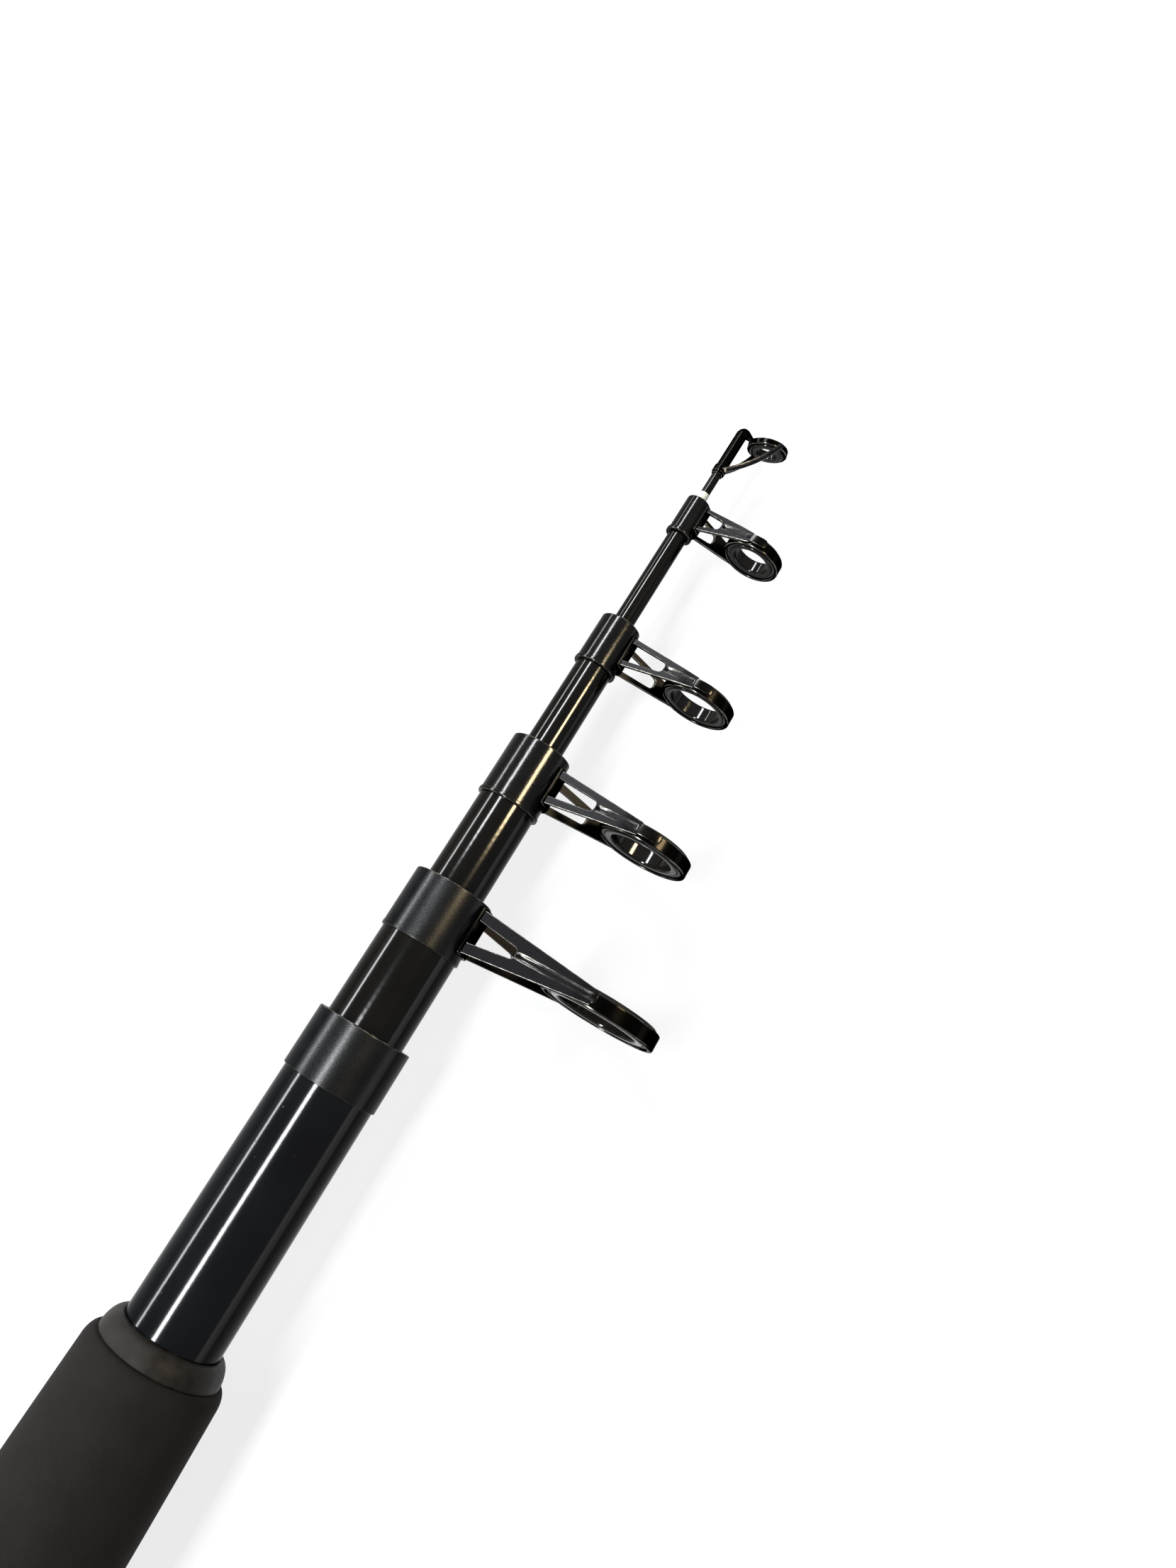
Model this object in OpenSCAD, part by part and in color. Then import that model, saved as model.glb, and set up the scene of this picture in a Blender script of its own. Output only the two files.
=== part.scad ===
// Telescopic fishing rod, closed and lying on its grips. Lengths are millimetres.
// X is the rod's axis, with the tip towards +X. The line guides and the reel seat face -Y.
// The origin is the centre of the flat end of the butt cap.

/* [Butt cap] */
// Diameter of the cap's head
cap_head_d = 28; // [25:0.5:30]
// Length of the cap's head
cap_head_l = 8; // [6:0.5:14]
// Length of the screwed spigot that enters the tube
cap_spigot_l = 12; // [9:0.5:20]
// Thickness of the soft disc that the inner sections rest on
cushion_t = 2; // [1:0.25:4]
// Thickness of the flange that closes the rear of the handle
flange_t = 3; // [2.5:0.25:6]
// Wall of the screwed insert's sleeve
insert_sleeve_wall = 1.4; // [1:0.1:2]
// Thickness of the sealing ring's section
seal_d = 1.5; // [1:0.1:2]
// Thread pitch of the cap
cap_pitch = 2; // [1:0.25:3]

/* [Handle] */
// Largest diameter of both foam grips
grip_d = 32.2; // [32:0.2:40]
// Diameter of the front grip at its rear and front shoulders
foregrip_rear_d = 30.8; // [27:0.1:32]
foregrip_front_d = 29.9; // [27:0.1:32]
// Diameter of the rear grip at its rear and front shoulders
rear_grip_rear_d = 31.2; // [27:0.1:32]
rear_grip_front_d = 31.6; // [27:0.1:32]
// Length of the rear grip
rear_grip_l = 108.7; // [60:0.5:200]
// Length of the front grip
foregrip_l = 95; // [60:0.5:200]
// Length of the soft rounding at each grip's ends
grip_round = 3; // [1:0.25:6]
// Length of the domed ring in front of the front grip
check_l = 4.5; // [3:0.25:8]
// Diameter of that ring where it meets the grip
check_d = 26.4; // [25:0.1:29]
// Thickness of that ring's front edge over the tube
check_lip = 0.45; // [0.3:0.05:1]
// Bare tube between that ring and the front collar of the handle
bare_l = 53.2; // [20:0.5:120]

/* [Reel seat] */
// Length of the reel seat between the grips
seat_l = 124; // [112:0.5:160]
// Wall of the seat's body over the tube
seat_wall = 2; // [1.5:0.1:3]
// Length of the stop ring at the seat's rear
seat_stop_l = 4; // [2:0.5:8]
// How far the stop ring stands out from the body
seat_stop_h = 1.5; // [1:0.1:2]
// Length of the screwed stretch of the seat's body
seat_thread_l = 42; // [40:0.5:48]
// Thread pitch of the lock nut
seat_pitch = 2; // [1:0.25:3]
// Depth of the thread
thread_depth = 0.5; // [0.3:0.05:0.8]
// Length of the lock nut
nut_l = 11; // [8:0.5:14]
// Wall of the lock nut
nut_wall = 2.2; // [1.8:0.1:2.6]
// Length of each hood
hood_l = 24; // [18:0.5:28]
// Wall of each hood
hood_wall = 1.5; // [1.2:0.1:2.5]
// Clear height of a hood's pocket over the body
pocket_h = 6; // [5:0.25:8]
// Radius of a hood's pocket
pocket_r = 11; // [9:0.25:12]
// Depth of a hood's pocket
pocket_l = 13; // [9:0.5:16]
// Width of the key that keeps the sliding hood from turning
key_w = 3; // [2:0.25:5]
// Height of that key
key_h = 0.9; // [0.5:0.1:1.2]

/* [Tubes] */
// Diameter of the tip at its thin end
tip_d = 2.3; // [1.6:0.1:4]
// Space round the tip in the mouth of the section it slides in
tip_gap = 0.65; // [0.4:0.05:1.5]
// Walls of the four middle sections, from the thickest section to the thinnest
section_wall = [0.9, 0.8, 0.7, 0.6]; // [0.5:0.05:1.2]
// Space round each middle section in the mouth it slides in
section_gap = [0.4, 1.3, 1.55, 1.25]; // [0.4:0.05:2]
// Wall of the handle's tube
butt_wall = 1; // [0.8:0.05:1.4]
// How much wider the handle's tube is at its rear end
butt_swell = 1.4; // [1.2:0.1:3]
// Bare length of each middle section when the rod is closed
section_show = [20.5, 21.5, 23, 27.3]; // [12:0.5:60]
// Bare length of the tip when the rod is closed
tip_show = 9; // [5:0.5:30]
// Overlap left in the first joint when it is drawn out
overlap_first = 40; // [30:0.5:60]
// How much shorter the overlap is in each further joint
overlap_step = 2.5; // [0:0.25:4]
// How much wider each section's foot is than the mouth that stops it
foot_flare = 0.3; // [0.2:0.05:0.5]
// Length of the pale band at the foot of the bare tip
band_l = 2.7; // [1.5:0.1:5]
// Thickness of that band
band_t = 0.2; // [0.2:0.05:0.4]

/* [Collars] */
// Length of the handle's front collar
butt_collar_l = 13.5; // [8:0.5:30]
// Wall of the handle's front collar
butt_collar_wall = 0.43; // [0.35:0.01:1]
// Lengths of the four guide collars
collar_l = [14.2, 15.2, 12.8, 10.6]; // [9:0.2:24]
// Walls of the four guide collars
collar_wall = [0.38, 0.47, 0.58, 0.59]; // [0.35:0.01:1]
// Thickness of the lip of each collar over the end of its tube
lip_t = 1; // [0.6:0.1:2]
// Length of the bead round the rear edge of each collar
bead_l = 0.9; // [0.5:0.1:1.5]
// Height of that bead on each guide collar
bead_h = [0.08, 0.25, 0.25, 0.3]; // [0.05:0.01:0.5]

/* [Guides] */
// Clear opening of each guide ring
guide_bore_d = [19.2, 15.2, 12.6, 8.7]; // [6:0.1:24]
// Radial thickness of each polished insert
insert_t = [1.9, 1.65, 1.1, 1.3]; // [0.8:0.05:3]
// Radial thickness of each soft ring round the insert
shock_t = [1.2, 1, 0.7, 0.8]; // [0.5:0.05:2]
// Radial thickness of each frame's rim
rim_t = [1.2, 1, 0.8, 0.8]; // [0.6:0.05:2]
// Length of each insert along the rod
ring_w = [4.5, 4, 3.7, 3.5]; // [2.5:0.1:6]
// How far each insert stands out in front of its rim
rim_step = 0.8; // [0.3:0.1:1.2]
// How far each rim stands out behind its insert
rim_back = 0.2; // [0.1:0.1:0.8]
// Clear height between each collar and its ring
guide_leg_h = [17.3, 12.3, 10.5, 7.7]; // [5:0.1:26]
// Length of each frame's feet along the rod
foot_l = [10.4, 8.6, 7.6, 6.5]; // [5:0.1:14]
// Width of each frame's legs
leg_w = [2.5, 1.9, 1.3, 1]; // [0.7:0.05:3.5]
// Length of each frame's window from the collar
window_l = [11, 11.1, 10, 5.6]; // [4:0.1:16]
// Width of the end of each window
window_end_w = [2.4, 2.6, 2.6, 2.4]; // [1.4:0.1:4]
// Width of each frame's arms at the ring
arm_end_w = [3.5, 3.2, 2.9, 2.7]; // [2:0.1:5]
// Width of the tab at the end of each arm
tab_w = [2.8, 2.5, 2.3, 2.2]; // [1.5:0.1:4]
// Share of each tab's width that the channel pressed into its arm has
channel_share = 0.44; // [0.2:0.02:0.7]
// Metal left round each window and each channel
window_edge = 0.8; // [0.4:0.1:1.2]
// Angle over the middle of the ring where each arm's tab ends
tab_end = [-13, 9, 10, 10]; // [-14:1:30]
// How far each ring sits in front of its collar's middle
ring_ahead = [1.3, 1.2, 0.5, 0.8]; // [0:0.1:3]
// How far each frame's feet sit in front of the collar's middle
foot_ahead = [0.8, 0.7, 0.4, 0.7]; // [0:0.1:1.2]
// Thickness of the frames' sheet
plate_t = 0.9; // [0.6:0.05:1.2]
// Thickness of the tabs, which are pressed thinner than the sheet
tab_t = 0.7; // [0.4:0.05:0.8]
// How deep the arms and tabs are sunk into the rims
arm_sink = 0.25; // [0.1:0.05:0.4]
// Angle on the collar between the guide's middle and each foot
foot_angle = 31; // [16:1:36]

/* [Tip-top] */
// Length of the tip-top's tube
tip_tube_l = 13.4; // [10:0.2:20]
// Wall of the tip-top's tube
tip_tube_wall = 0.25; // [0.2:0.05:0.5]
// Clear opening of the tip-top's ring
tip_bore_d = 5; // [3.5:0.1:8]
// Radial thickness of the tip-top's insert
tip_insert_t = 1.8; // [1:0.1:2.5]
// Radial thickness of the tip-top's rim
tip_rim_t = 0.8; // [0.6:0.05:1.5]
// Length of the tip-top's insert along the rod
tip_ring_w = 2.4; // [1.5:0.1:3.5]
// Height of the tip-top's ring over its tube
tip_ring_rise = 1.5; // [0.5:0.05:3]
// How far the middle of the ring sits in front of the tube's end
tip_ring_ahead = 2.2; // [1:0.1:3.5]
// Angle by which the ring leans forward
tip_lean = 16; // [0:1:35]
// Angle by which the tip-top is turned from the other guides when the rod is put away
tip_roll = 25; // [0:1:90]
// Width of the strap from the tube to the ring
strap_w = 1.3; // [1:0.1:2.5]
// Thickness of that strap
strap_t = 0.5; // [0.4:0.05:0.8]
// Length of the strap's wrap round the tube
strap_wrap_l = 1.8; // [1:0.1:3]
// Bare tube behind the strap
strap_back = 0.6; // [0.2:0.1:2]

/* [Fits] */
// Space all round a section in its joint when it is drawn out
joint_fit = 0.05; // [0.02:0.01:0.1]
// Space all round a tube in a collar that turns on it
turn_fit = 0.03; // [0.02:0.01:0.1]
// Space all round a screwed or sliding piece
slide_fit = 0.08; // [0.04:0.01:0.1]
// Thickness of a glue line
glue = 0.02; // [0.01:0.01:0.05]
// Space between flat faces that meet but aren't glued
face_gap = 0.15; // [0.1:0.05:0.3]

/* [Hidden] */
GUIDES = [for (i = [0 : len(collar_l) - 1]) i];
$fn = 96;
// How far a cut runs past the face that it leaves
past = 1;
// Depth of the channels pressed into the guides' arms
channel_t = plate_t / 3;

// Stages are counted from the handle's tube, 0, through the middle sections, 1 to 4, to the tip
TIP = len(section_wall) + 1;
walls = concat([butt_wall], section_wall);
gaps = concat([0], section_gap, [tip_gap]);
collar_lengths = concat([butt_collar_l], collar_l);
collar_walls = concat([butt_collar_wall], collar_wall);

// Each mouth is sized from the stage that slides in it, so the diameters add up from the tip
function top_d(k) = k == TIP ? tip_d : top_d(k + 1) + 2 * (gaps[k + 1] + walls[k]);
function mouth_d(k) = top_d(k) - 2 * walls[k];
function overlap(k) = overlap_first - overlap_step * (k - 1);

// Places along the handle
flange_x = cap_head_l + face_gap;
tube_x = flange_x + flange_t;
seat_x = tube_x + rear_grip_l;
foregrip_x = seat_x + seat_l;
check_x = foregrip_x + foregrip_l;
bare_x = check_x + check_l;
spigot_end_x = cap_head_l + cap_spigot_l;
base_x = spigot_end_x + cushion_t + face_gap;

// The front end of each collar, and the ends and diameters of each stage
function collar_top_x(k) = k == 0 ? bare_x + bare_l + butt_collar_l
    : collar_top_x(k - 1) + section_show[k - 1] + collar_l[k - 1];
function collar_x(k) = collar_top_x(k) - collar_lengths[k];
tip_tube_x = collar_top_x(TIP - 1) + tip_show;
tip_tube_end_x = tip_tube_x + tip_tube_l;
function end_x(k) = k == TIP ? tip_tube_end_x - lip_t : collar_top_x(k) - lip_t - face_gap;
function waist_d(k) = mouth_d(k - 1) - 2 * joint_fit;
function foot_d(k) = waist_d(k) + foot_flare;
function rear_d(k) = k == 0 ? top_d(0) + butt_swell : foot_d(k);
function rear_x(k) = k == 0 ? tube_x : base_x;
function slope_x(k) = k == 0 ? tube_x : base_x + overlap(k);
function slope_d(k) = k == 0 ? rear_d(0) : waist_d(k);
function stage_d(k, x) = top_d(k)
    + (slope_d(k) - top_d(k)) * (end_x(k) - x) / (end_x(k) - slope_x(k));
function bore_end_x(k) = end_x(k) - overlap(k + 1);
function collar_bore_d(k) = stage_d(k, collar_x(k)) + 2 * turn_fit;
function collar_d(k) = collar_bore_d(k) + 2 * collar_walls[k];

// Cap, insert and seal
sleeve_end_x = base_x - face_gap;
sleeve_d = stage_d(0, sleeve_end_x) - 2 * butt_wall - 2 * glue;
thread_bore_d = sleeve_d - 2 * insert_sleeve_wall;
spigot_d = thread_bore_d - 2 * slide_fit;
seal_seat_l = seal_d + face_gap;
seal_seat_d = spigot_d + 2 * seal_d + 4 * slide_fit;

// Reel seat
seat_bore_d = stage_d(0, seat_x) + 2 * glue;
seat_d = seat_bore_d + 2 * seat_wall;
hood_bore_d = seat_d + 2 * slide_fit;
hood_d = hood_bore_d + 2 * hood_wall;
nut_d = hood_bore_d + 2 * nut_wall;
nut_x = seat_x + seat_stop_l + face_gap;
hood_x = nut_x + nut_l + face_gap;
fixed_hood_x = foregrip_x - hood_l;
pocket_y = seat_d / 2 + pocket_h - pocket_r;

// Guides: heights are from the rod's axis, and each arm ends on a tangent just inside the rim
function guide_x(i) = collar_x(i + 1) + collar_l[i] / 2;
function rim_r(i) = guide_bore_d[i] / 2 + insert_t[i] + shock_t[i] + rim_t[i];
function collar_r(i) = collar_d(i + 1) / 2;
function ring_h(i) = collar_r(i) + guide_leg_h[i] + rim_r(i);
function seat_r(i) = rim_r(i) - arm_sink;
function arm_y(i) = collar_r(i) * sin(foot_angle);
function arm_z(i) = collar_r(i) * cos(foot_angle);
function reach(i) = norm([arm_y(i), ring_h(i) - arm_z(i)]);
function arm_tilt(i) = asin(seat_r(i) / reach(i)) - atan2(arm_y(i), ring_h(i) - arm_z(i));
function arm_l(i) = sqrt(reach(i) ^ 2 - seat_r(i) ^ 2);
saddle_spare = 3;
function saddle_angle(i) = foot_angle + asin(plate_t / collar_r(i)) + saddle_spare;
function arm_mid_x(i, u) = foot_ahead[i] + (ring_ahead[i] - foot_ahead[i]) * u / arm_l(i);
function arm_half_w(i, u) = foot_l[i] / 2 + (arm_end_w[i] - foot_l[i]) / 2 * u / arm_l(i);

// Tip-top
tip_tube_bore_d = stage_d(TIP, tip_tube_x) + 2 * turn_fit;
tip_tube_d = tip_tube_bore_d + 2 * tip_tube_wall;
tip_rim_r = tip_bore_d / 2 + tip_insert_t + tip_rim_t;
tip_ring_h = tip_tube_d / 2 + tip_ring_rise + tip_rim_r;
tip_ring_x = tip_tube_end_x + tip_ring_ahead;
tip_rim_foot_x = tip_ring_x - tip_rim_r * sin(tip_lean);
tip_rim_foot_h = tip_ring_h - tip_rim_r * cos(tip_lean);

// Turns a shape drawn along Z so that it lies along X from the place given
module along_x(x = 0) {
    translate([x, 0, 0]) rotate([0, 90, 0]) children();
}

// Turns a shape drawn with the guides upwards so that they face -Y
module guides_out() {
    rotate([90, 0, 0]) children();
}

// A round bar along the rod
module bar(x, l, d) {
    along_x(x) cylinder(h = l, d = d);
}

// A ring along the rod with its four edges broken
module broken_ring(r_in, r_out, w, edge) {
    rotate_extrude() polygon([
        [r_in, edge - w / 2], [r_in + edge, -w / 2], [r_out - edge, -w / 2], [r_out, edge - w / 2],
        [r_out, w / 2 - edge], [r_out - edge, w / 2], [r_in + edge, w / 2], [r_in, w / 2 - edge]
    ]);
}

// The outline of thread ridges on a bar, from x on, with its plain root where no whole ridge fits
function ridges(x, l, d, pitch) =
    let (turns = floor(l / pitch), root_r = d / 2 - thread_depth)
    concat(
        [for (n = [0 : turns - 1]) each [[root_r, x + n * pitch], [d / 2, x + (n + 0.5) * pitch]]],
        [[root_r, x + turns * pitch], [root_r, x + l]]
    );

// The outside of a tapered stage, and its bore with the narrower mouth that stops the next stage
module stage_outside(k) {
    waist = k == 0 ? [] : [[slope_d(k) / 2, slope_x(k)]];
    along_x() rotate_extrude() polygon(concat(
        [[0, rear_x(k)], [rear_d(k) / 2, rear_x(k)]], waist, [[top_d(k) / 2, end_x(k)], [0, end_x(k)]]
    ));
}
module stage_bore(k) {
    rear_r = rear_d(k) / 2 - walls[k];
    mouth_r = mouth_d(k) / 2;
    along_x() rotate_extrude() polygon([
        [0, rear_x(k) - past], [rear_r, rear_x(k) - past], [rear_r, rear_x(k)],
        [mouth_r + foot_flare / 2, bore_end_x(k)], [mouth_r, end_x(k)],
        [mouth_r, end_x(k) + past], [0, end_x(k) + past]
    ]);
}

// A collar over the front end of a stage, with its lip and the bead round its rear edge
module collar(k, bead) {
    x0 = collar_x(k);
    difference() {
        union() {
            bar(x0, collar_lengths[k], collar_d(k));
            bar(x0, bead_l, collar_d(k) + 2 * bead);
        }
        bar(x0 - lip_t, collar_lengths[k], collar_bore_d(k));
        bar(x0 - lip_t, collar_lengths[k] + 2 * lip_t, mouth_d(k));
    }
}

// A foam grip: a swelling body with softly rounded ends, round the tapered tube
module grip(x0, l, rear_end_d, front_end_d) {
    steps = 12;
    function bulge(u) = rear_end_d + (front_end_d - rear_end_d) * u
        + (grip_d - max(rear_end_d, front_end_d)) * sin(180 * u);
    function body_r(u) = bulge(u) / 2;
    round_h = grip_round / 2;
    function drop(a) = round_h * (1 - sin(a));
    function inset(a) = grip_round * (1 - cos(a));
    rear = [for (a = [0 : 30 : 60]) [body_r(0) - drop(a), x0 + inset(a)]];
    mid = [for (n = [0 : steps]) [body_r(n / steps), x0 + grip_round + (l - 2 * grip_round) * n / steps]];
    front = [for (a = [60 : -30 : 0]) [body_r(1) - drop(a), x0 + l - inset(a)]];
    along_x() rotate_extrude() polygon(concat(
        [[stage_d(0, x0) / 2 + glue, x0]], rear, mid, front, [[stage_d(0, x0 + l) / 2 + glue, x0 + l]]
    ));
}

// A hood over one end of the reel foot, closed at its rear end, with its pocket facing -Y
module hood_shell() {
    difference() {
        union() {
            bar(0, hood_l, hood_d);
            translate([0, -pocket_y, 0]) along_x() rotate_extrude() polygon([
                [0, 0], [pocket_r - hood_wall, 0], [pocket_r + hood_wall, hood_l - pocket_l],
                [pocket_r + hood_wall, hood_l], [0, hood_l]
            ]);
        }
        bar(-past, hood_l + 2 * past, hood_bore_d);
        translate([hood_l - pocket_l, -pocket_y, 0]) along_x() cylinder(h = pocket_l + past, r = pocket_r);
    }
}

module butt_tube() {
    color("#16181c") difference() {
        stage_outside(0);
        stage_bore(0);
    }
}

module butt_collar() {
    color("#26292a") collar(0, 0);
}

module winding_check() {
    r_front = stage_d(0, bare_x) / 2 + check_lip;
    r_rear = check_d / 2;
    dome = [for (a = [0 : 15 : 90]) [r_front + (r_rear - r_front) * cos(a), check_x + check_l * sin(a)]];
    color("#43413e") along_x() rotate_extrude() polygon(concat(
        [[stage_d(0, check_x) / 2 + glue, check_x]], dome, [[stage_d(0, check_x) / 2 + glue, bare_x]]
    ));
}

module foregrip() {
    color("#2a2624") grip(foregrip_x, foregrip_l, foregrip_rear_d, foregrip_front_d);
}

module rear_grip() {
    color("#2a2624") grip(tube_x, rear_grip_l, rear_grip_rear_d, rear_grip_front_d);
}

module butt_insert() {
    color("#2b2c2e") difference() {
        union() {
            bar(flange_x, flange_t, cap_head_d);
            bar(flange_x, sleeve_end_x - flange_x, sleeve_d);
        }
        bar(flange_x - past, sleeve_end_x - flange_x + 2 * past, thread_bore_d);
        bar(flange_x - past, seal_seat_l + past, seal_seat_d);
    }
}

module butt_cap() {
    edge = 1.5;
    flutes = 18;
    flute_r = 1.2;
    head_r = cap_head_d / 2;
    color("#1d1e20") {
        difference() {
            along_x() rotate_extrude() polygon([
                [0, 0], [head_r - edge, 0], [head_r, edge],
                [head_r, cap_head_l - edge / 2], [head_r - edge / 2, cap_head_l], [0, cap_head_l]
            ]);
            for (n = [0 : flutes - 1]) rotate([360 / flutes * n, 0, 0])
                translate([edge, head_r + flute_r / 2, 0]) along_x() cylinder(h = cap_head_l, r = flute_r);
        }
        thread_x = cap_head_l + seal_seat_l;
        along_x() rotate_extrude() polygon(concat(
            [[0, cap_head_l - past], [spigot_d / 2, cap_head_l - past], [spigot_d / 2, thread_x]],
            ridges(thread_x, spigot_end_x - thread_x, spigot_d, cap_pitch), [[0, spigot_end_x]]
        ));
    }
}

module cap_cushion() {
    color("#4a4a4a") bar(spigot_end_x, cushion_t, spigot_d - 2 * thread_depth);
}

module cap_seal() {
    color("#0e0e0f") along_x(cap_head_l + seal_d / 2 + face_gap / 2) rotate_extrude()
        translate([spigot_d / 2 + slide_fit + seal_d / 2, 0]) circle(d = seal_d, $fn = 32);
}

module seat_body() {
    key_slot_w = key_w + 2 * slide_fit;
    key_slot_h = key_h + slide_fit;
    thread_x = seat_x + seat_stop_l;
    stop_r = seat_d / 2 + seat_stop_h;
    color("#1a1b1d") difference() {
        along_x() rotate_extrude() polygon(concat(
            [[0, seat_x], [stop_r, seat_x], [stop_r, thread_x]],
            ridges(thread_x, seat_thread_l, seat_d, seat_pitch),
            [[seat_d / 2, thread_x + seat_thread_l], [seat_d / 2, foregrip_x], [0, foregrip_x]]
        ));
        bar(seat_x - past, seat_l + 2 * past, seat_bore_d);
        translate([thread_x, seat_d / 2 - key_slot_h, -key_slot_w / 2])
            cube([fixed_hood_x - thread_x, key_slot_h + past, key_slot_w]);
    }
}

module fixed_hood() {
    color("#232427") translate([fixed_hood_x + hood_l, 0, 0]) mirror([1, 0, 0]) hood_shell();
}

module sliding_hood() {
    color("#232427") translate([hood_x, 0, 0]) {
        hood_shell();
        translate([0, seat_d / 2 - key_h, -key_w / 2])
            cube([hood_l, key_h + slide_fit + hood_wall / 2, key_w]);
    }
}

module lock_nut() {
    flutes = 20;
    flute_r = 1.4;
    edge = 0.8;
    color("#232427") difference() {
        along_x(nut_x + nut_l / 2) broken_ring(hood_bore_d / 2, nut_d / 2, nut_l, edge);
        for (n = [0 : flutes - 1]) rotate([360 / flutes * n, 0, 0])
            translate([nut_x - past, nut_d / 2 + flute_r / 2, 0]) along_x()
                cylinder(h = nut_l + 2 * past, r = flute_r);
    }
}

module section_tube(i) {
    color("#171512") difference() {
        stage_outside(i + 1);
        stage_bore(i + 1);
    }
}

module guide_collar(i) {
    color("#26292a") collar(i + 1, bead_h[i]);
}

// One side arm of a guide, flat: x along the rod, y outwards from the collar
module arm_plate(i) {
    sunk = plate_t / 2;
    l = arm_l(i);
    foot_half = arm_half_w(i, -sunk);
    end_half = arm_end_w[i] / 2;
    polygon([
        [arm_mid_x(i, -sunk) - foot_half, -sunk], [arm_mid_x(i, -sunk) + foot_half, -sunk],
        [ring_ahead[i] + end_half, l], [ring_ahead[i] - end_half, l]
    ]);
}

// The window between an arm's two legs, with its outer corners rounded
module arm_window(i) {
    u0 = plate_t + window_edge / 2;
    u1 = window_l[i];
    r = window_end_w[i] / 3;
    half0 = arm_half_w(i, u0) - leg_w[i];
    corner_x = window_end_w[i] / 2 - r;
    function corner(side, a) = [arm_mid_x(i, u1) + side * (corner_x + r * cos(a)), u1 - r + r * sin(a)];
    polygon(concat(
        [[arm_mid_x(i, u0) - half0, u0], [arm_mid_x(i, u0) + half0, u0]],
        [for (a = [0 : 15 : 90]) corner(1, a)], [for (a = [90 : -15 : 0]) corner(-1, a)]
    ));
}

// The shallow channel pressed into an arm between its window and the ring
module arm_channel(i) {
    u0 = window_l[i] + window_edge;
    u1 = arm_l(i) - window_edge;
    half = tab_w[i] * channel_share / 2;
    polygon([
        [arm_mid_x(i, u0) - half, u0], [arm_mid_x(i, u0) + half, u0],
        [arm_mid_x(i, u1) + half, u1], [arm_mid_x(i, u1) - half, u1]
    ]);
}

// One side arm with the tab that lies against the rim
module guide_arm(i) {
    tilt = arm_tilt(i);
    tab_lap = 5;
    half = tab_w[i] / 2;
    r0 = seat_r(i) - arm_sink;
    r1 = seat_r(i) + tab_t;
    translate([0, arm_y(i), arm_z(i)]) rotate([90 - tilt, 0, 0]) translate([0, 0, -plate_t]) difference() {
        linear_extrude(plate_t) difference() {
            arm_plate(i);
            arm_window(i);
        }
        translate([0, 0, -channel_t]) linear_extrude(2 * channel_t) arm_channel(i);
    }
    translate([ring_ahead[i], 0, ring_h(i)]) along_x() rotate([0, 0, 90 - tilt - tab_lap])
        rotate_extrude(angle = tilt + tab_lap + tab_end[i])
            polygon([[r0, -half], [r1, -half], [r1, half], [r0, half]]);
}

// The curved foot of a guide on its collar
module guide_saddle(i) {
    x0 = foot_ahead[i] - foot_l[i] / 2 - plate_t / 2;
    x1 = foot_ahead[i] + foot_l[i] / 2 + plate_t / 2;
    r0 = collar_r(i) - plate_t / 2;
    r1 = collar_r(i) + plate_t;
    along_x() rotate([0, 0, 180 - saddle_angle(i)]) rotate_extrude(angle = 2 * saddle_angle(i))
        polygon([[r0, x0], [r1, x0], [r1, x1], [r0, x1]]);
}

module guide_frame(i) {
    shock_r = rim_r(i) - rim_t[i];
    color("#2c2c2e") translate([guide_x(i), 0, 0]) guides_out() difference() {
        union() {
            guide_saddle(i);
            guide_arm(i);
            mirror([0, 1, 0]) guide_arm(i);
            translate([ring_ahead[i] - (rim_back + rim_step) / 2, 0, ring_h(i)]) along_x()
                broken_ring(shock_r - rim_t[i] / 2, rim_r(i), ring_w[i] + rim_back - rim_step, rim_t[i] / 4);
        }
        bar(-foot_l[i], 2 * foot_l[i], collar_d(i + 1) + 2 * glue);
        translate([ring_ahead[i], 0, ring_h(i)]) bar(-ring_w[i], 2 * ring_w[i], 2 * shock_r);
    }
}

// The middle of a guide's ring
module ring_place(i) {
    translate([guide_x(i), 0, 0]) guides_out() translate([ring_ahead[i], 0, ring_h(i)]) along_x() children();
}

module guide_shock_ring(i) {
    r_in = guide_bore_d[i] / 2 + insert_t[i] + glue;
    color("#141414") ring_place(i)
        broken_ring(r_in, r_in + shock_t[i] - 2 * glue, ring_w[i] - rim_step / 2, shock_t[i] / 5);
}

module guide_insert(i) {
    r_in = guide_bore_d[i] / 2;
    color("#3a3833") ring_place(i) broken_ring(r_in, r_in + insert_t[i], ring_w[i], insert_t[i] / 4);
}

module tip_blank() {
    color("#171512") stage_outside(TIP);
}

module tip_band() {
    x0 = collar_top_x(TIP - 1) + face_gap;
    color("#f4f3dc") difference() {
        bar(x0, band_l, stage_d(TIP, x0) + 2 * glue + 2 * band_t);
        bar(x0 - past, band_l + 2 * past, stage_d(TIP, x0) + 2 * glue);
    }
}

module tip_tube() {
    color("#1f1f22") difference() {
        bar(tip_tube_x, tip_tube_l, tip_tube_d);
        bar(tip_tube_x - past, tip_tube_l + 2 * past, tip_tube_bore_d);
    }
}

// Turns a shape drawn with the guides upwards to the side that the tip-top faces
module tip_out() {
    rotate([90 + tip_roll, 0, 0]) children();
}

// The tip-top's ring plane, leaning forward from the end of its tube
module tip_ring_place() {
    tip_out() translate([tip_ring_x, 0, tip_ring_h]) rotate([0, tip_lean, 0]) along_x() children();
}

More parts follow.
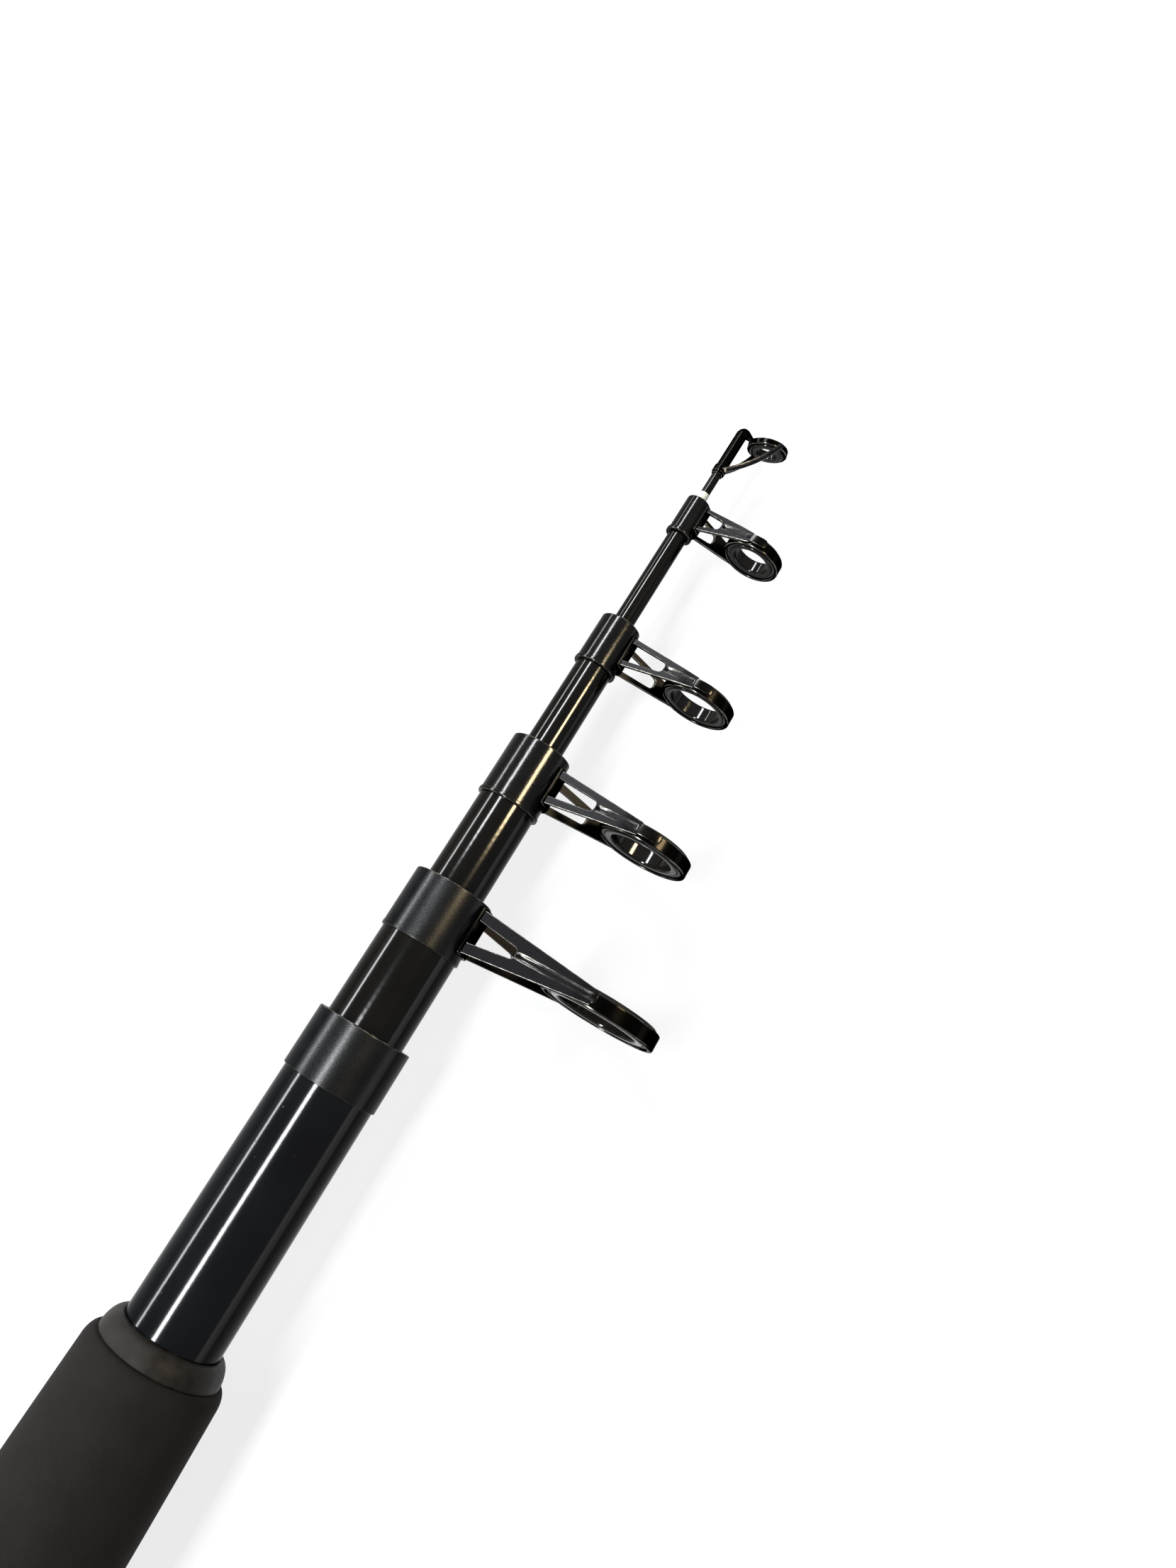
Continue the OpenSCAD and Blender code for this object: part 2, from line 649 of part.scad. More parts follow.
// One strap arm, a flat bar from the side of the tube to the side of the ring
module strap_arm() {
    from = [tip_tube_x + strap_back + strap_w / 2, tip_tube_d / 2 + glue, 0];
    to = [tip_ring_x, tip_rim_r, tip_ring_h];
    run = to - from;
    turn = atan2(run[1], run[0]);
    climb = atan2(run[2], norm([run[0], run[1]]));
    translate(from) rotate([0, 0, turn]) rotate([0, -climb, 0])
        translate([-strap_w / 3, 0, -strap_w / 2]) cube([norm(run) + strap_w / 3, strap_t, strap_w]);
}

// The tip-top's neck, a round head on the end of the tube that thins towards the foot of the ring
module tip_neck() {
    ahead = tip_rim_foot_x - tip_tube_end_x;
    rise = tip_rim_foot_h + tip_rim_t / 2;
    translate([tip_tube_end_x, 0, 0]) {
        sphere(d = tip_tube_d);
        rotate([0, atan2(ahead, rise), 0]) cylinder(h = norm([ahead, rise]), d1 = tip_tube_d, d2 = strap_w);
    }
}

module tip_frame() {
    color("#2c2c2e") difference() {
        union() {
            tip_ring_place()
                broken_ring(tip_rim_r - tip_rim_t, tip_rim_r, tip_ring_w - rim_step, tip_rim_t / 4);
            tip_out() {
                strap_arm();
                mirror([0, 1, 0]) strap_arm();
                bar(tip_tube_x + strap_back, strap_wrap_l, tip_tube_d + 2 * glue + 2 * strap_t);
                tip_neck();
            }
        }
        bar(tip_tube_x - past, tip_tube_l + past + glue, tip_tube_d + 2 * glue);
        tip_ring_place() cylinder(h = 4 * tip_ring_w, r = tip_rim_r - tip_rim_t, center = true);
    }
}

module tip_insert() {
    r_out = tip_bore_d / 2 + tip_insert_t - glue;
    color("#1b1b1c") tip_ring_place() broken_ring(tip_bore_d / 2, r_out, tip_ring_w, tip_insert_t / 4);
}

butt_tube();
butt_collar();
winding_check();
foregrip();
rear_grip();
butt_insert();
seat_body();
fixed_hood();
sliding_hood();
lock_nut();
butt_cap();
cap_cushion();
cap_seal();
for (i = GUIDES) {
    section_tube(i);
    guide_collar(i);
    guide_frame(i);
    guide_shock_ring(i);
    guide_insert(i);
}
tip_blank();
tip_band();
tip_tube();
tip_frame();
tip_insert();
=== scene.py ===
"""A closed telescopic fishing rod: foam grips, a reel seat, six sections and four line guides.

Sizes in the classes are millimetres in the rod's own frame: X is the rod's axis with the tip
towards +X, the guides face -Y, and the origin is the middle of the butt cap's flat end.
"""

import logging
import math
from dataclasses import dataclass
from enum import Enum
from functools import cached_property
from typing import NamedTuple

import bpy
import numpy as np
from mathutils import Matrix, Vector


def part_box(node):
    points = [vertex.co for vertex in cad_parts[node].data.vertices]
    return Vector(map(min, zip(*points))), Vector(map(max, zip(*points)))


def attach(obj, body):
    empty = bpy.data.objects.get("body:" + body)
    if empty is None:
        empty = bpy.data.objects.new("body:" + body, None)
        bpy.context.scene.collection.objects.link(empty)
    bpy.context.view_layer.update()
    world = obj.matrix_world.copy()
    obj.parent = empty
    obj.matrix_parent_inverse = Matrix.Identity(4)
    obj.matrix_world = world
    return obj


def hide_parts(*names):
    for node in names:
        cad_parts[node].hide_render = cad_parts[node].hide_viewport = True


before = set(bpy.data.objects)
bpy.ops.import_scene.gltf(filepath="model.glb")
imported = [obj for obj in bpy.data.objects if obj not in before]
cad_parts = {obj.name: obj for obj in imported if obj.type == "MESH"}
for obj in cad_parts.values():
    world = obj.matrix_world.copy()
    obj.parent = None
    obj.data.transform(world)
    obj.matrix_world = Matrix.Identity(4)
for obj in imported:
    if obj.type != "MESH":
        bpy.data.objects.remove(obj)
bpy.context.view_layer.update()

log = logging.getLogger("rod")
Tree = bpy.types.NodeTree
Node = bpy.types.Node
Socket = bpy.types.NodeSocket
Material = bpy.types.Material
Array = np.ndarray

MM = 0.001
TURN = 2.0 * math.pi
QUARTER = TURN / 4
# The rod's direction
ALONG = np.array([1.0, 0.0, 0.0])
# Keeps a division away from nought
TINY = 1e-9
# Clearance between two pieces that sit in one another
FIT = 0.02
# Columns round a turned piece, from thin pieces to the widest
THIN_ROUND = 96
RING_ROUND = 144
WIDE_ROUND = 192
# A Mix node's sockets for colours, which share their names with its sockets for numbers
FACTOR = 0
COLOUR_A = 6
COLOUR_B = 7
COLOUR_OUT = 2
# A Wave node's bands repeat every 0.31416 / scale
WAVE_REPEAT = 0.31416


# Small tools

class Kind(Enum):
    """The kinds of node, each with Blender's name for it."""

    NOISE = "ShaderNodeTexNoise"
    CELLS = "ShaderNodeTexVoronoi"
    WAVES = "ShaderNodeTexWave"
    RANGE = "ShaderNodeMapRange"
    BUMP = "ShaderNodeBump"
    MIX = "ShaderNodeMix"
    MATHS = "ShaderNodeMath"
    ATTRIBUTE = "ShaderNodeAttribute"
    PLACE = "ShaderNodeTexCoord"
    ANGLE = "ShaderNodeLayerWeight"
    RAY = "ShaderNodeLightPath"
    SHADER = "ShaderNodeBsdfPrincipled"
    SURFACE = "ShaderNodeOutputMaterial"
    SKY = "ShaderNodeBackground"
    WORLD = "ShaderNodeOutputWorld"


def linear(code: str) -> tuple[float, float, float, float]:
    """Turns an sRGB hex value into linear light.

    Args:
        code: The colour, as a hash sign and six hex digits.

    Returns:
        Linear red, green and blue, and a full alpha.
    """
    raw = np.array([int(code[i:i + 2], 16) for i in (1, 3, 5)]) / 255.0
    flat = np.where(raw <= 0.04045, raw / 12.92, ((raw + 0.055) / 1.055) ** 2.4)
    return (float(flat[0]), float(flat[1]), float(flat[2]), 1.0)


def feed(tree: Tree, node: Node, inputs: dict) -> None:
    """Sets or links a node's inputs.

    Args:
        tree: The tree that holds the node.
        node: The node.
        inputs: Socket name or index to a value, to the output socket that feeds it, or to a node
            whose first output feeds it.
    """
    for key, value in inputs.items():
        source = value.outputs[0] if isinstance(value, Node) else value
        if isinstance(source, Socket):
            tree.links.new(source, node.inputs[key])
        else:
            node.inputs[key].default_value = source


def add(tree: Tree, kind: Kind, inputs: dict, **settings: object) -> Node:
    """Adds a node with its settings and links.

    Args:
        tree: The node tree that gets the node.
        kind: The node's kind.
        inputs: What its inputs are set to or fed by, as in feed.
        settings: Properties of the node itself.

    Returns:
        The node.
    """
    made = tree.nodes.new(kind.value)
    for name, value in settings.items():
        setattr(made, name, value)
    feed(tree, made, inputs)
    return made


def per_mm(size: float) -> float:
    """The scale at which a noise or cell pattern has features of a size in millimetres."""
    return 1.0 / (size * MM)


def smooth_step(value: Array, low: float, high: float) -> Array:
    """Rises from 0 at low to 1 at high along a cubic."""
    t = np.clip((value - low) / (high - low), 0.0, 1.0)
    return t * t * (3.0 - 2.0 * t)


def swung(points: Array, degrees: float) -> Array:
    """Turns points about the rod's axis.

    Args:
        points: The points, with X, Y and Z last.
        degrees: The turn, from +Y towards +Z.

    Returns:
        The turned points.
    """
    c = math.cos(math.radians(degrees))
    s = math.sin(math.radians(degrees))
    return points @ np.array([[1.0, 0.0, 0.0], [0.0, c, s], [0.0, -s, c]])


class Box(NamedTuple):
    """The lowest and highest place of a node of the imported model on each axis, in millimetres."""

    x0: float
    y0: float
    z0: float
    x1: float
    y1: float
    z1: float


def node_box(node: str) -> Box:
    """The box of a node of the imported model."""
    low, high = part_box(node)
    return Box(*(float(place) / MM for place in (*low, *high)))


# Finishes

@dataclass(frozen=True)
class Pattern:
    """A finish's own pattern.

    Each layer is a share from 0 to 1 and the colour that it lays over the ones before. The inputs
    are the shader's other sockets, each with its value or what feeds it.
    """

    layers: list[tuple[Node, str]]
    inputs: dict[str, object]


@dataclass(frozen=True)
class Finish:
    """What every finish has: its name, two colours that its own pattern blends, and its gloss."""

    name: str
    dark: str
    light: str
    roughness: float
    metallic: float = 0.0
    ior: float = 1.5
    specular: float = 0.5
    graze: str = "#ffffff"
    low_specular: float = 0.03

    def material(self) -> Material:
        """Makes the material, with the shader's uniform values on its own sockets.

        Returns:
            The material.
        """
        made = bpy.data.materials.new(self.name)
        made.use_nodes = True
        tree = made.node_tree
        tree.nodes.clear()
        shader = add(tree, Kind.SHADER, {
            "Roughness": self.roughness, "Metallic": self.metallic, "IOR": self.ior,
            "Specular IOR Level": self.specular, "Specular Tint": linear(self.graze),
        })
        add(tree, Kind.SURFACE, {"Surface": shader})
        place = add(tree, Kind.PLACE, {}).outputs["Object"]
        pattern = self.pattern(tree, place)
        tone = linear(self.dark)
        for share, colour in pattern.layers:
            tone = add(tree, Kind.MIX, {
                FACTOR: share, COLOUR_A: tone, COLOUR_B: linear(colour),
            }, data_type="RGBA").outputs[COLOUR_OUT]
        feed(tree, shader, {"Base Color": tone} | pattern.inputs)
        return made

    def pattern(self, tree: Tree, place: Socket) -> Pattern:
        """Adds the finish's own pattern.

        Args:
            tree: The material's tree.
            place: The place on the piece.

        Returns:
            The pattern.
        """
        raise NotImplementedError

    def held_back(self, tree: Tree) -> Node:
        """Holds the gloss back at low angles, where the white floor would wash out the dark sides."""
        facing = add(tree, Kind.ANGLE, {"Blend": 0.5}).outputs["Facing"]
        return add(tree, Kind.RANGE, {
            "Value": facing, "From Min": 0.2, "From Max": 0.36,
            "To Min": self.specular, "To Max": self.low_specular,
        })


@dataclass(frozen=True)
class LacqueredFibre(Finish):
    """Resin-bound fibre tube under clear lacquer: deep black, mirror-like, with faint waves."""

    cloud_mm: float = 14.0
    speck_mm: float = 3.4
    speck_colour: str = "#3b3934"
    speck_height: float = 0.01
    wrap_mm: float = 1.6
    ridge_depth: float = 0.002
    wave_mm: float = 1.2
    wave_depth: float = 0.006

    def pattern(self, tree: Tree, place: Socket) -> Pattern:
        """Cloudy colour, tape-wrap ridges, orange-peel waves and a few dust specks in the lacquer.

        Args:
            tree: The material's tree.
            place: The place on the piece.

        Returns:
            The pattern.
        """
        cloud = add(tree, Kind.NOISE, {"Vector": place, "Scale": per_mm(self.cloud_mm), "Detail": 3.0})
        share = add(tree, Kind.RANGE, {"Value": cloud, "From Min": 0.35, "From Max": 0.7})
        cells = add(tree, Kind.CELLS, {"Vector": place, "Scale": per_mm(self.speck_mm)})
        specks = add(tree, Kind.RANGE, {
            "Value": cells, "From Min": 0.025, "From Max": 0.045, "To Min": 1.0, "To Max": 0.0,
        })
        wrap = add(tree, Kind.WAVES, {
            "Vector": place, "Scale": WAVE_REPEAT / (self.wrap_mm * MM), "Distortion": 0.6, "Detail": 1.0,
        }, bands_direction="X").outputs["Fac"]
        ridges = add(tree, Kind.BUMP, {"Height": wrap, "Distance": self.ridge_depth * MM})
        peel = add(tree, Kind.NOISE, {"Vector": place, "Scale": per_mm(self.wave_mm), "Detail": 2.0})
        waves = add(tree, Kind.BUMP, {"Height": peel, "Distance": self.wave_depth * MM, "Normal": ridges})
        grit = add(tree, Kind.BUMP, {
            "Height": specks, "Distance": self.speck_height * MM, "Normal": waves,
        })
        return Pattern([(share, self.light), (specks, self.speck_colour)],
                       {"Normal": grit, "Specular IOR Level": self.held_back(tree)})


@dataclass(frozen=True)
class Grained(Finish):
    """A finish with an even grain all over."""

    grain_mm: float = 0.45
    grain_fineness: float = 2.0
    grain_depth: float = 0.012
    grain_gloss: float = 0.06

    def grain(self, tree: Tree, place: Socket) -> dict[str, object]:
        """Adds a grain that moves the gloss to both sides of its middle and gives the relief.

        Args:
            tree: The material's tree.
            place: The place on the piece.

        Returns:
            What feeds the shader's roughness and normal.
        """
        grain = add(tree, Kind.NOISE, {
            "Vector": place, "Scale": per_mm(self.grain_mm), "Detail": self.grain_fineness,
        })
        gloss = add(tree, Kind.RANGE, {
            "Value": grain, "From Min": 0.3, "From Max": 0.7,
            "To Min": self.roughness - self.grain_gloss, "To Max": self.roughness + self.grain_gloss,
        })
        relief = add(tree, Kind.BUMP, {"Height": grain, "Distance": self.grain_depth * MM})
        return {"Roughness": gloss, "Normal": relief}


@dataclass(frozen=True)
class SatinAnodised(Grained):
    """Dark anodised aluminium: soft wide streaks, a fine blasted grain, pale specks on worn edges."""

    grain_mm: float = 0.3
    grain_fineness: float = 3.0
    grain_depth: float = 0.006
    grain_gloss: float = 0.05
    drift_mm: float = 5.0
    chip_mm: float = 1.1
    wear_colour: str = "#8d8575"

    def pattern(self, tree: Tree, place: Socket) -> Pattern:
        """Blasted grain, drawn at 0.3 mm so that it shows, and wear where the edge attribute is high.

        Args:
            tree: The material's tree.
            place: The place on the piece.

        Returns:
            The pattern.
        """
        drift = add(tree, Kind.NOISE, {"Vector": place, "Scale": per_mm(self.drift_mm), "Detail": 4.0})
        share = add(tree, Kind.RANGE, {"Value": drift, "From Min": 0.35, "From Max": 0.65})
        edge = add(tree, Kind.ATTRIBUTE, {}, attribute_name="edge").outputs["Fac"]
        spots = add(tree, Kind.NOISE, {"Vector": place, "Scale": per_mm(self.chip_mm), "Detail": 4.0})
        chips = add(tree, Kind.RANGE, {
            "Value": spots, "From Min": 0.42, "From Max": 0.72, "To Min": 0.12, "To Max": 0.8,
        })
        worn = add(tree, Kind.MATHS, {0: edge, 1: chips}, operation="MULTIPLY")
        inputs = self.grain(tree, place) | {"Specular IOR Level": self.held_back(tree)}
        return Pattern([(share, self.light), (worn, self.wear_colour)], inputs)


@dataclass(frozen=True)
class GunmetalSheet(Finish):
    """Pressed steel sheet, black plated: a fine sandy grain, with rubbed edges lightened by a painted
    highlight.
    """

    # Pale colour on the edges: wear, and a painted highlight along them
    edge_wear_and_highlight_colour: str = "#c8c5bd"
    edge_wear_and_highlight_share: float = 0.6
    edge_gloss: float = 0.6
    grain_mm: float = 0.3
    grain_depth: float = 0.005
    patch_mm: float = 1.8

    def pattern(self, tree: Tree, place: Socket) -> Pattern:
        """Plating grain, drawn at 0.3 mm so that it shows, and edges polished by handling and lightened by
        a painted highlight.

        Args:
            tree: The material's tree.
            place: The place on the piece.

        Returns:
            The pattern.
        """
        grain = add(tree, Kind.NOISE, {"Vector": place, "Scale": per_mm(self.grain_mm), "Detail": 3.0})
        share = add(tree, Kind.RANGE, {"Value": grain, "From Min": 0.2, "From Max": 0.8})
        edge = add(tree, Kind.ATTRIBUTE, {}, attribute_name="edge").outputs["Fac"]
        patches = add(tree, Kind.NOISE, {"Vector": place, "Scale": per_mm(self.patch_mm), "Detail": 3.0})
        rub_and_highlight_patches = add(tree, Kind.RANGE, {
            "Value": patches, "From Min": 0.35, "From Max": 0.6, "To Min": 0.35, "To Max": 1.0,
        })
        edges = add(tree, Kind.MATHS, {0: edge, 1: rub_and_highlight_patches}, operation="MULTIPLY")
        # The edge mark lays the pale colour on: wear on rubbed edges, and a painted highlight
        bright = add(tree, Kind.RANGE, {"Value": edges, "To Max": self.edge_wear_and_highlight_share})
        gloss = add(tree, Kind.RANGE, {
            "Value": bright, "To Min": self.roughness, "To Max": self.roughness * self.edge_gloss,
        })
        relief = add(tree, Kind.BUMP, {"Height": grain, "Distance": self.grain_depth * MM})
        return Pattern([(share, self.light), (bright, self.edge_wear_and_highlight_colour)],
                       {"Roughness": gloss, "Normal": relief})


@dataclass(frozen=True)
class PolishedCeramic(Finish):
    """Ground and polished oxide ceramic: dark, very glossy, with faint waves from the polishing."""

    cloud_mm: float = 2.2
    haze_mm: float = 0.9
    haze_gloss: float = 0.06
    swirl_mm: float = 1.6
    swirl_depth: float = 0.004

    def pattern(self, tree: Tree, place: Socket) -> Pattern:
        """Cloudy body colour, and polishing haze that moves the gloss a little.

        Args:
            tree: The material's tree.
            place: The place on the piece.

        Returns:
            The pattern.
        """
        cloud = add(tree, Kind.NOISE, {"Vector": place, "Scale": per_mm(self.cloud_mm), "Detail": 3.0})
        haze = add(tree, Kind.NOISE, {"Vector": place, "Scale": per_mm(self.haze_mm), "Detail": 3.0})
        gloss = add(tree, Kind.RANGE, {
            "Value": haze, "From Min": 0.3, "From Max": 0.7,
            "To Min": self.roughness, "To Max": self.roughness + self.haze_gloss,
        })
        swirl = add(tree, Kind.NOISE, {"Vector": place, "Scale": per_mm(self.swirl_mm), "Detail": 1.0})
        relief = add(tree, Kind.BUMP, {"Height": swirl, "Distance": self.swirl_depth * MM})
        return Pattern([(cloud, self.light)],
                       {"Roughness": gloss, "Normal": relief, "Specular IOR Level": self.held_back(tree)})


@dataclass(frozen=True)
class MouldedPlastic(Grained):
    """Moulded filled nylon: even dark colour with the mould's fine spark texture."""

    drift_mm: float = 9.0

    def pattern(self, tree: Tree, place: Socket) -> Pattern:
        """Spark texture, drawn at 0.45 mm so that it shows, and slow colour drift.

        Args:
            tree: The material's tree.
            place: The place on the piece.

        Returns:
            The pattern.
        """
        drift = add(tree, Kind.NOISE, {"Vector": place, "Scale": per_mm(self.drift_mm), "Detail": 3.0})
        return Pattern([(drift, self.light)], self.grain(tree, place))


@dataclass(frozen=True)
class GroundFoam(Finish):
    """Closed-cell foam, ground to shape: matt, with open cells darkened by painted shade and a dusty grey
    bloom.
    """

    cell_mm: float = 0.4
    cell_depth: float = 0.025
    pit_shade_share: float = 0.3
    fuzz_mm: float = 0.25
    fuzz_depth: float = 0.03
    drift_mm: float = 5.0

    def pattern(self, tree: Tree, place: Socket) -> Pattern:
        """Opened cells, drawn at 0.4 mm so that they show, with painted shade in their pits, over a slow
        drift of tone.

        Args:
            tree: The material's tree.
            place: The place on the piece.

        Returns:
            The pattern.
        """
        cells = add(tree, Kind.CELLS, {"Vector": place, "Scale": per_mm(self.cell_mm)})
        pits = add(tree, Kind.RANGE, {"Value": cells, "From Max": 0.6})
        drift = add(tree, Kind.NOISE, {"Vector": place, "Scale": per_mm(self.drift_mm), "Detail": 5.0})
        # The pits darken the colour: painted shade in the open cells, mixed with a random drift of tone
        tone_and_pit_shade = add(tree, Kind.MIX, {"Factor": self.pit_shade_share, "A": drift, "B": pits})
        share = add(tree, Kind.RANGE, {"Value": tone_and_pit_shade, "From Min": 0.25, "From Max": 0.75})
        fuzz = add(tree, Kind.NOISE, {"Vector": place, "Scale": per_mm(self.fuzz_mm), "Detail": 3.0})
        fine = add(tree, Kind.BUMP, {"Height": fuzz, "Distance": self.fuzz_depth * MM})
        relief = add(tree, Kind.BUMP, {"Height": pits, "Distance": self.cell_depth * MM, "Normal": fine})
        return Pattern([(share, self.light)], {"Normal": relief})


@dataclass(frozen=True)
class SoftRubber(Finish):
    """Moulded rubber: grey, low sheen, with a fine stipple and handling marks."""

    bloom_mm: float = 2.5
    bloom_gloss: tuple[float, float] = (-0.06, 0.08)
    stipple_mm: float = 0.35
    stipple_depth: float = 0.012

    def pattern(self, tree: Tree, place: Socket) -> Pattern:
        """Stipple, drawn at 0.35 mm so that it shows, and a blotchy bloom.

        Args:
            tree: The material's tree.
            place: The place on the piece.

        Returns:
            The pattern.
        """
        marks = add(tree, Kind.NOISE, {"Vector": place, "Scale": per_mm(self.bloom_mm), "Detail": 4.0})
        bloom = add(tree, Kind.RANGE, {"Value": marks, "From Min": 0.35, "From Max": 0.65})
        gloss = add(tree, Kind.RANGE, {
            "Value": bloom,
            "To Min": self.roughness + self.bloom_gloss[0], "To Max": self.roughness + self.bloom_gloss[1],
        })
        dots = add(tree, Kind.NOISE, {"Vector": place, "Scale": per_mm(self.stipple_mm), "Detail": 2.0})
        relief = add(tree, Kind.BUMP, {"Height": dots, "Distance": self.stipple_depth * MM})
        return Pattern([(bloom, self.light)], {"Roughness": gloss, "Normal": relief})


@dataclass(frozen=True)
class ThreadWrap(Finish):
    """Pale binding thread under clear lacquer: fine turns across the tip, glossy on top."""

    turn_mm: float = 0.32
    groove_depth: float = 0.005
    coat: float = 0.4
    coat_roughness: float = 0.1

    def pattern(self, tree: Tree, place: Socket) -> Pattern:
        """Thread turns, drawn at 0.32 mm so that they show, with painted shade in the grooves.

        Args:
            tree: The material's tree.
            place: The place on the piece.

        Returns:
            The pattern.
        """
        turns = add(tree, Kind.WAVES, {
            "Vector": place, "Scale": WAVE_REPEAT / (self.turn_mm * MM), "Distortion": 0.4, "Detail": 1.0,
        }, bands_direction="X").outputs["Fac"]
        # The grooves between turns get the darker colour: painted shade
        share = add(tree, Kind.RANGE, {"Value": turns, "From Max": 0.35})
        relief = add(tree, Kind.BUMP, {"Height": turns, "Distance": self.groove_depth * MM})
        return Pattern([(share, self.light)], {
            "Normal": relief, "Coat Weight": self.coat, "Coat Roughness": self.coat_roughness,
        })


@dataclass(frozen=True)
class MattPaper(Finish):
    """White matt studio paper: plain, with a barely visible tone drift."""

    glow: float = 0.8
    glow_colour: str = "#ffffff"
    drift_mm: float = 120.0

    def pattern(self, tree: Tree, place: Socket) -> Pattern:
        """A slow drift between two tones, and a white glow for what the camera and the gloss see.

        Args:
            tree: The material's tree.
            place: The place on the piece.

        Returns:
            The pattern.
        """
        drift = add(tree, Kind.NOISE, {"Vector": place, "Scale": per_mm(self.drift_mm), "Detail": 2.0})
        seen = add(tree, Kind.RAY, {}).outputs
        gloss = add(tree, Kind.MATHS, {
            0: seen["Is Glossy Ray"], 1: seen["Is Transmission Ray"],
        }, operation="MAXIMUM")
        either = add(tree, Kind.MATHS, {0: seen["Is Camera Ray"], 1: gloss}, operation="MAXIMUM")
        glow = add(tree, Kind.RANGE, {"Value": either, "To Max": self.glow})
        return Pattern([(drift, self.light)], {
            "Emission Color": linear(self.glow_colour), "Emission Strength": glow,
        })


class Paints:
    """The materials of the rod, each made once."""

    def __init__(self) -> None:
        """Makes every material from its finish."""
        self.butt = LacqueredFibre(
            "lacquered_fibre_butt", "#07080a", "#0e1013", 0.11).material()
        self.section = LacqueredFibre(
            "lacquered_fibre_section", "#080705", "#100e0a", 0.11, wave_mm=0.8, wave_depth=0.004,
            ridge_depth=0.0015).material()
        self.collar = SatinAnodised(
            "anodised_aluminium", "#08090a", "#0f1112", 0.26, specular=0.45).material()
        self.top_collar = SatinAnodised(
            "anodised_aluminium_fine", "#0a0a09", "#121110", 0.14).material()
        self.sheet = GunmetalSheet(
            "black_plated_steel_sheet", "#151516", "#1c1c1d", 0.3, metallic=1.0, graze="#3a3a3a").material()
        self.rim = GunmetalSheet(
            "black_nickel_steel", "#151413", "#1d1c1a", 0.17, metallic=1.0, edge_wear_and_highlight_share=0.3,
            grain_depth=0.002, graze="#262626").material()
        self.strap = GunmetalSheet(
            "blued_steel_strap", "#121829", "#192237", 0.2, metallic=1.0, edge_wear_and_highlight_share=0.45,
            grain_depth=0.002, graze="#1b222d").material()
        self.ceramic = PolishedCeramic(
            "polished_oxide_ceramic", "#100f0d", "#1a1815", 0.06, ior=1.76, specular=0.3).material()
        self.shock = MouldedPlastic(
            "moulded_shock_ring_nylon", "#070707", "#0d0d0d", 0.5, specular=0.25).material()
        self.foam = GroundFoam("ground_eva_foam", "#13100f", "#1d1817", 0.9, specular=0.2).material()
        self.check = SoftRubber("moulded_rubber", "#1a1714", "#26221e", 0.5, specular=0.16).material()
        self.seal = SoftRubber("nitrile_rubber", "#0e0e0f", "#1b1b1c", 0.5).material()
        self.seat = MouldedPlastic("moulded_nylon_seat", "#111214", "#1a1b1d", 0.4, specular=0.4).material()
        self.cap = MouldedPlastic("moulded_nylon_cap", "#131416", "#1d1e20", 0.46, specular=0.4).material()
        self.band = ThreadWrap("lacquered_binding_thread", "#ebe6cf", "#f6f3df", 0.3).material()


# Mesh building

class Paint(Enum):
    """Which of a piece's materials a surface wears."""

    MAIN = 0
    OTHER = 1


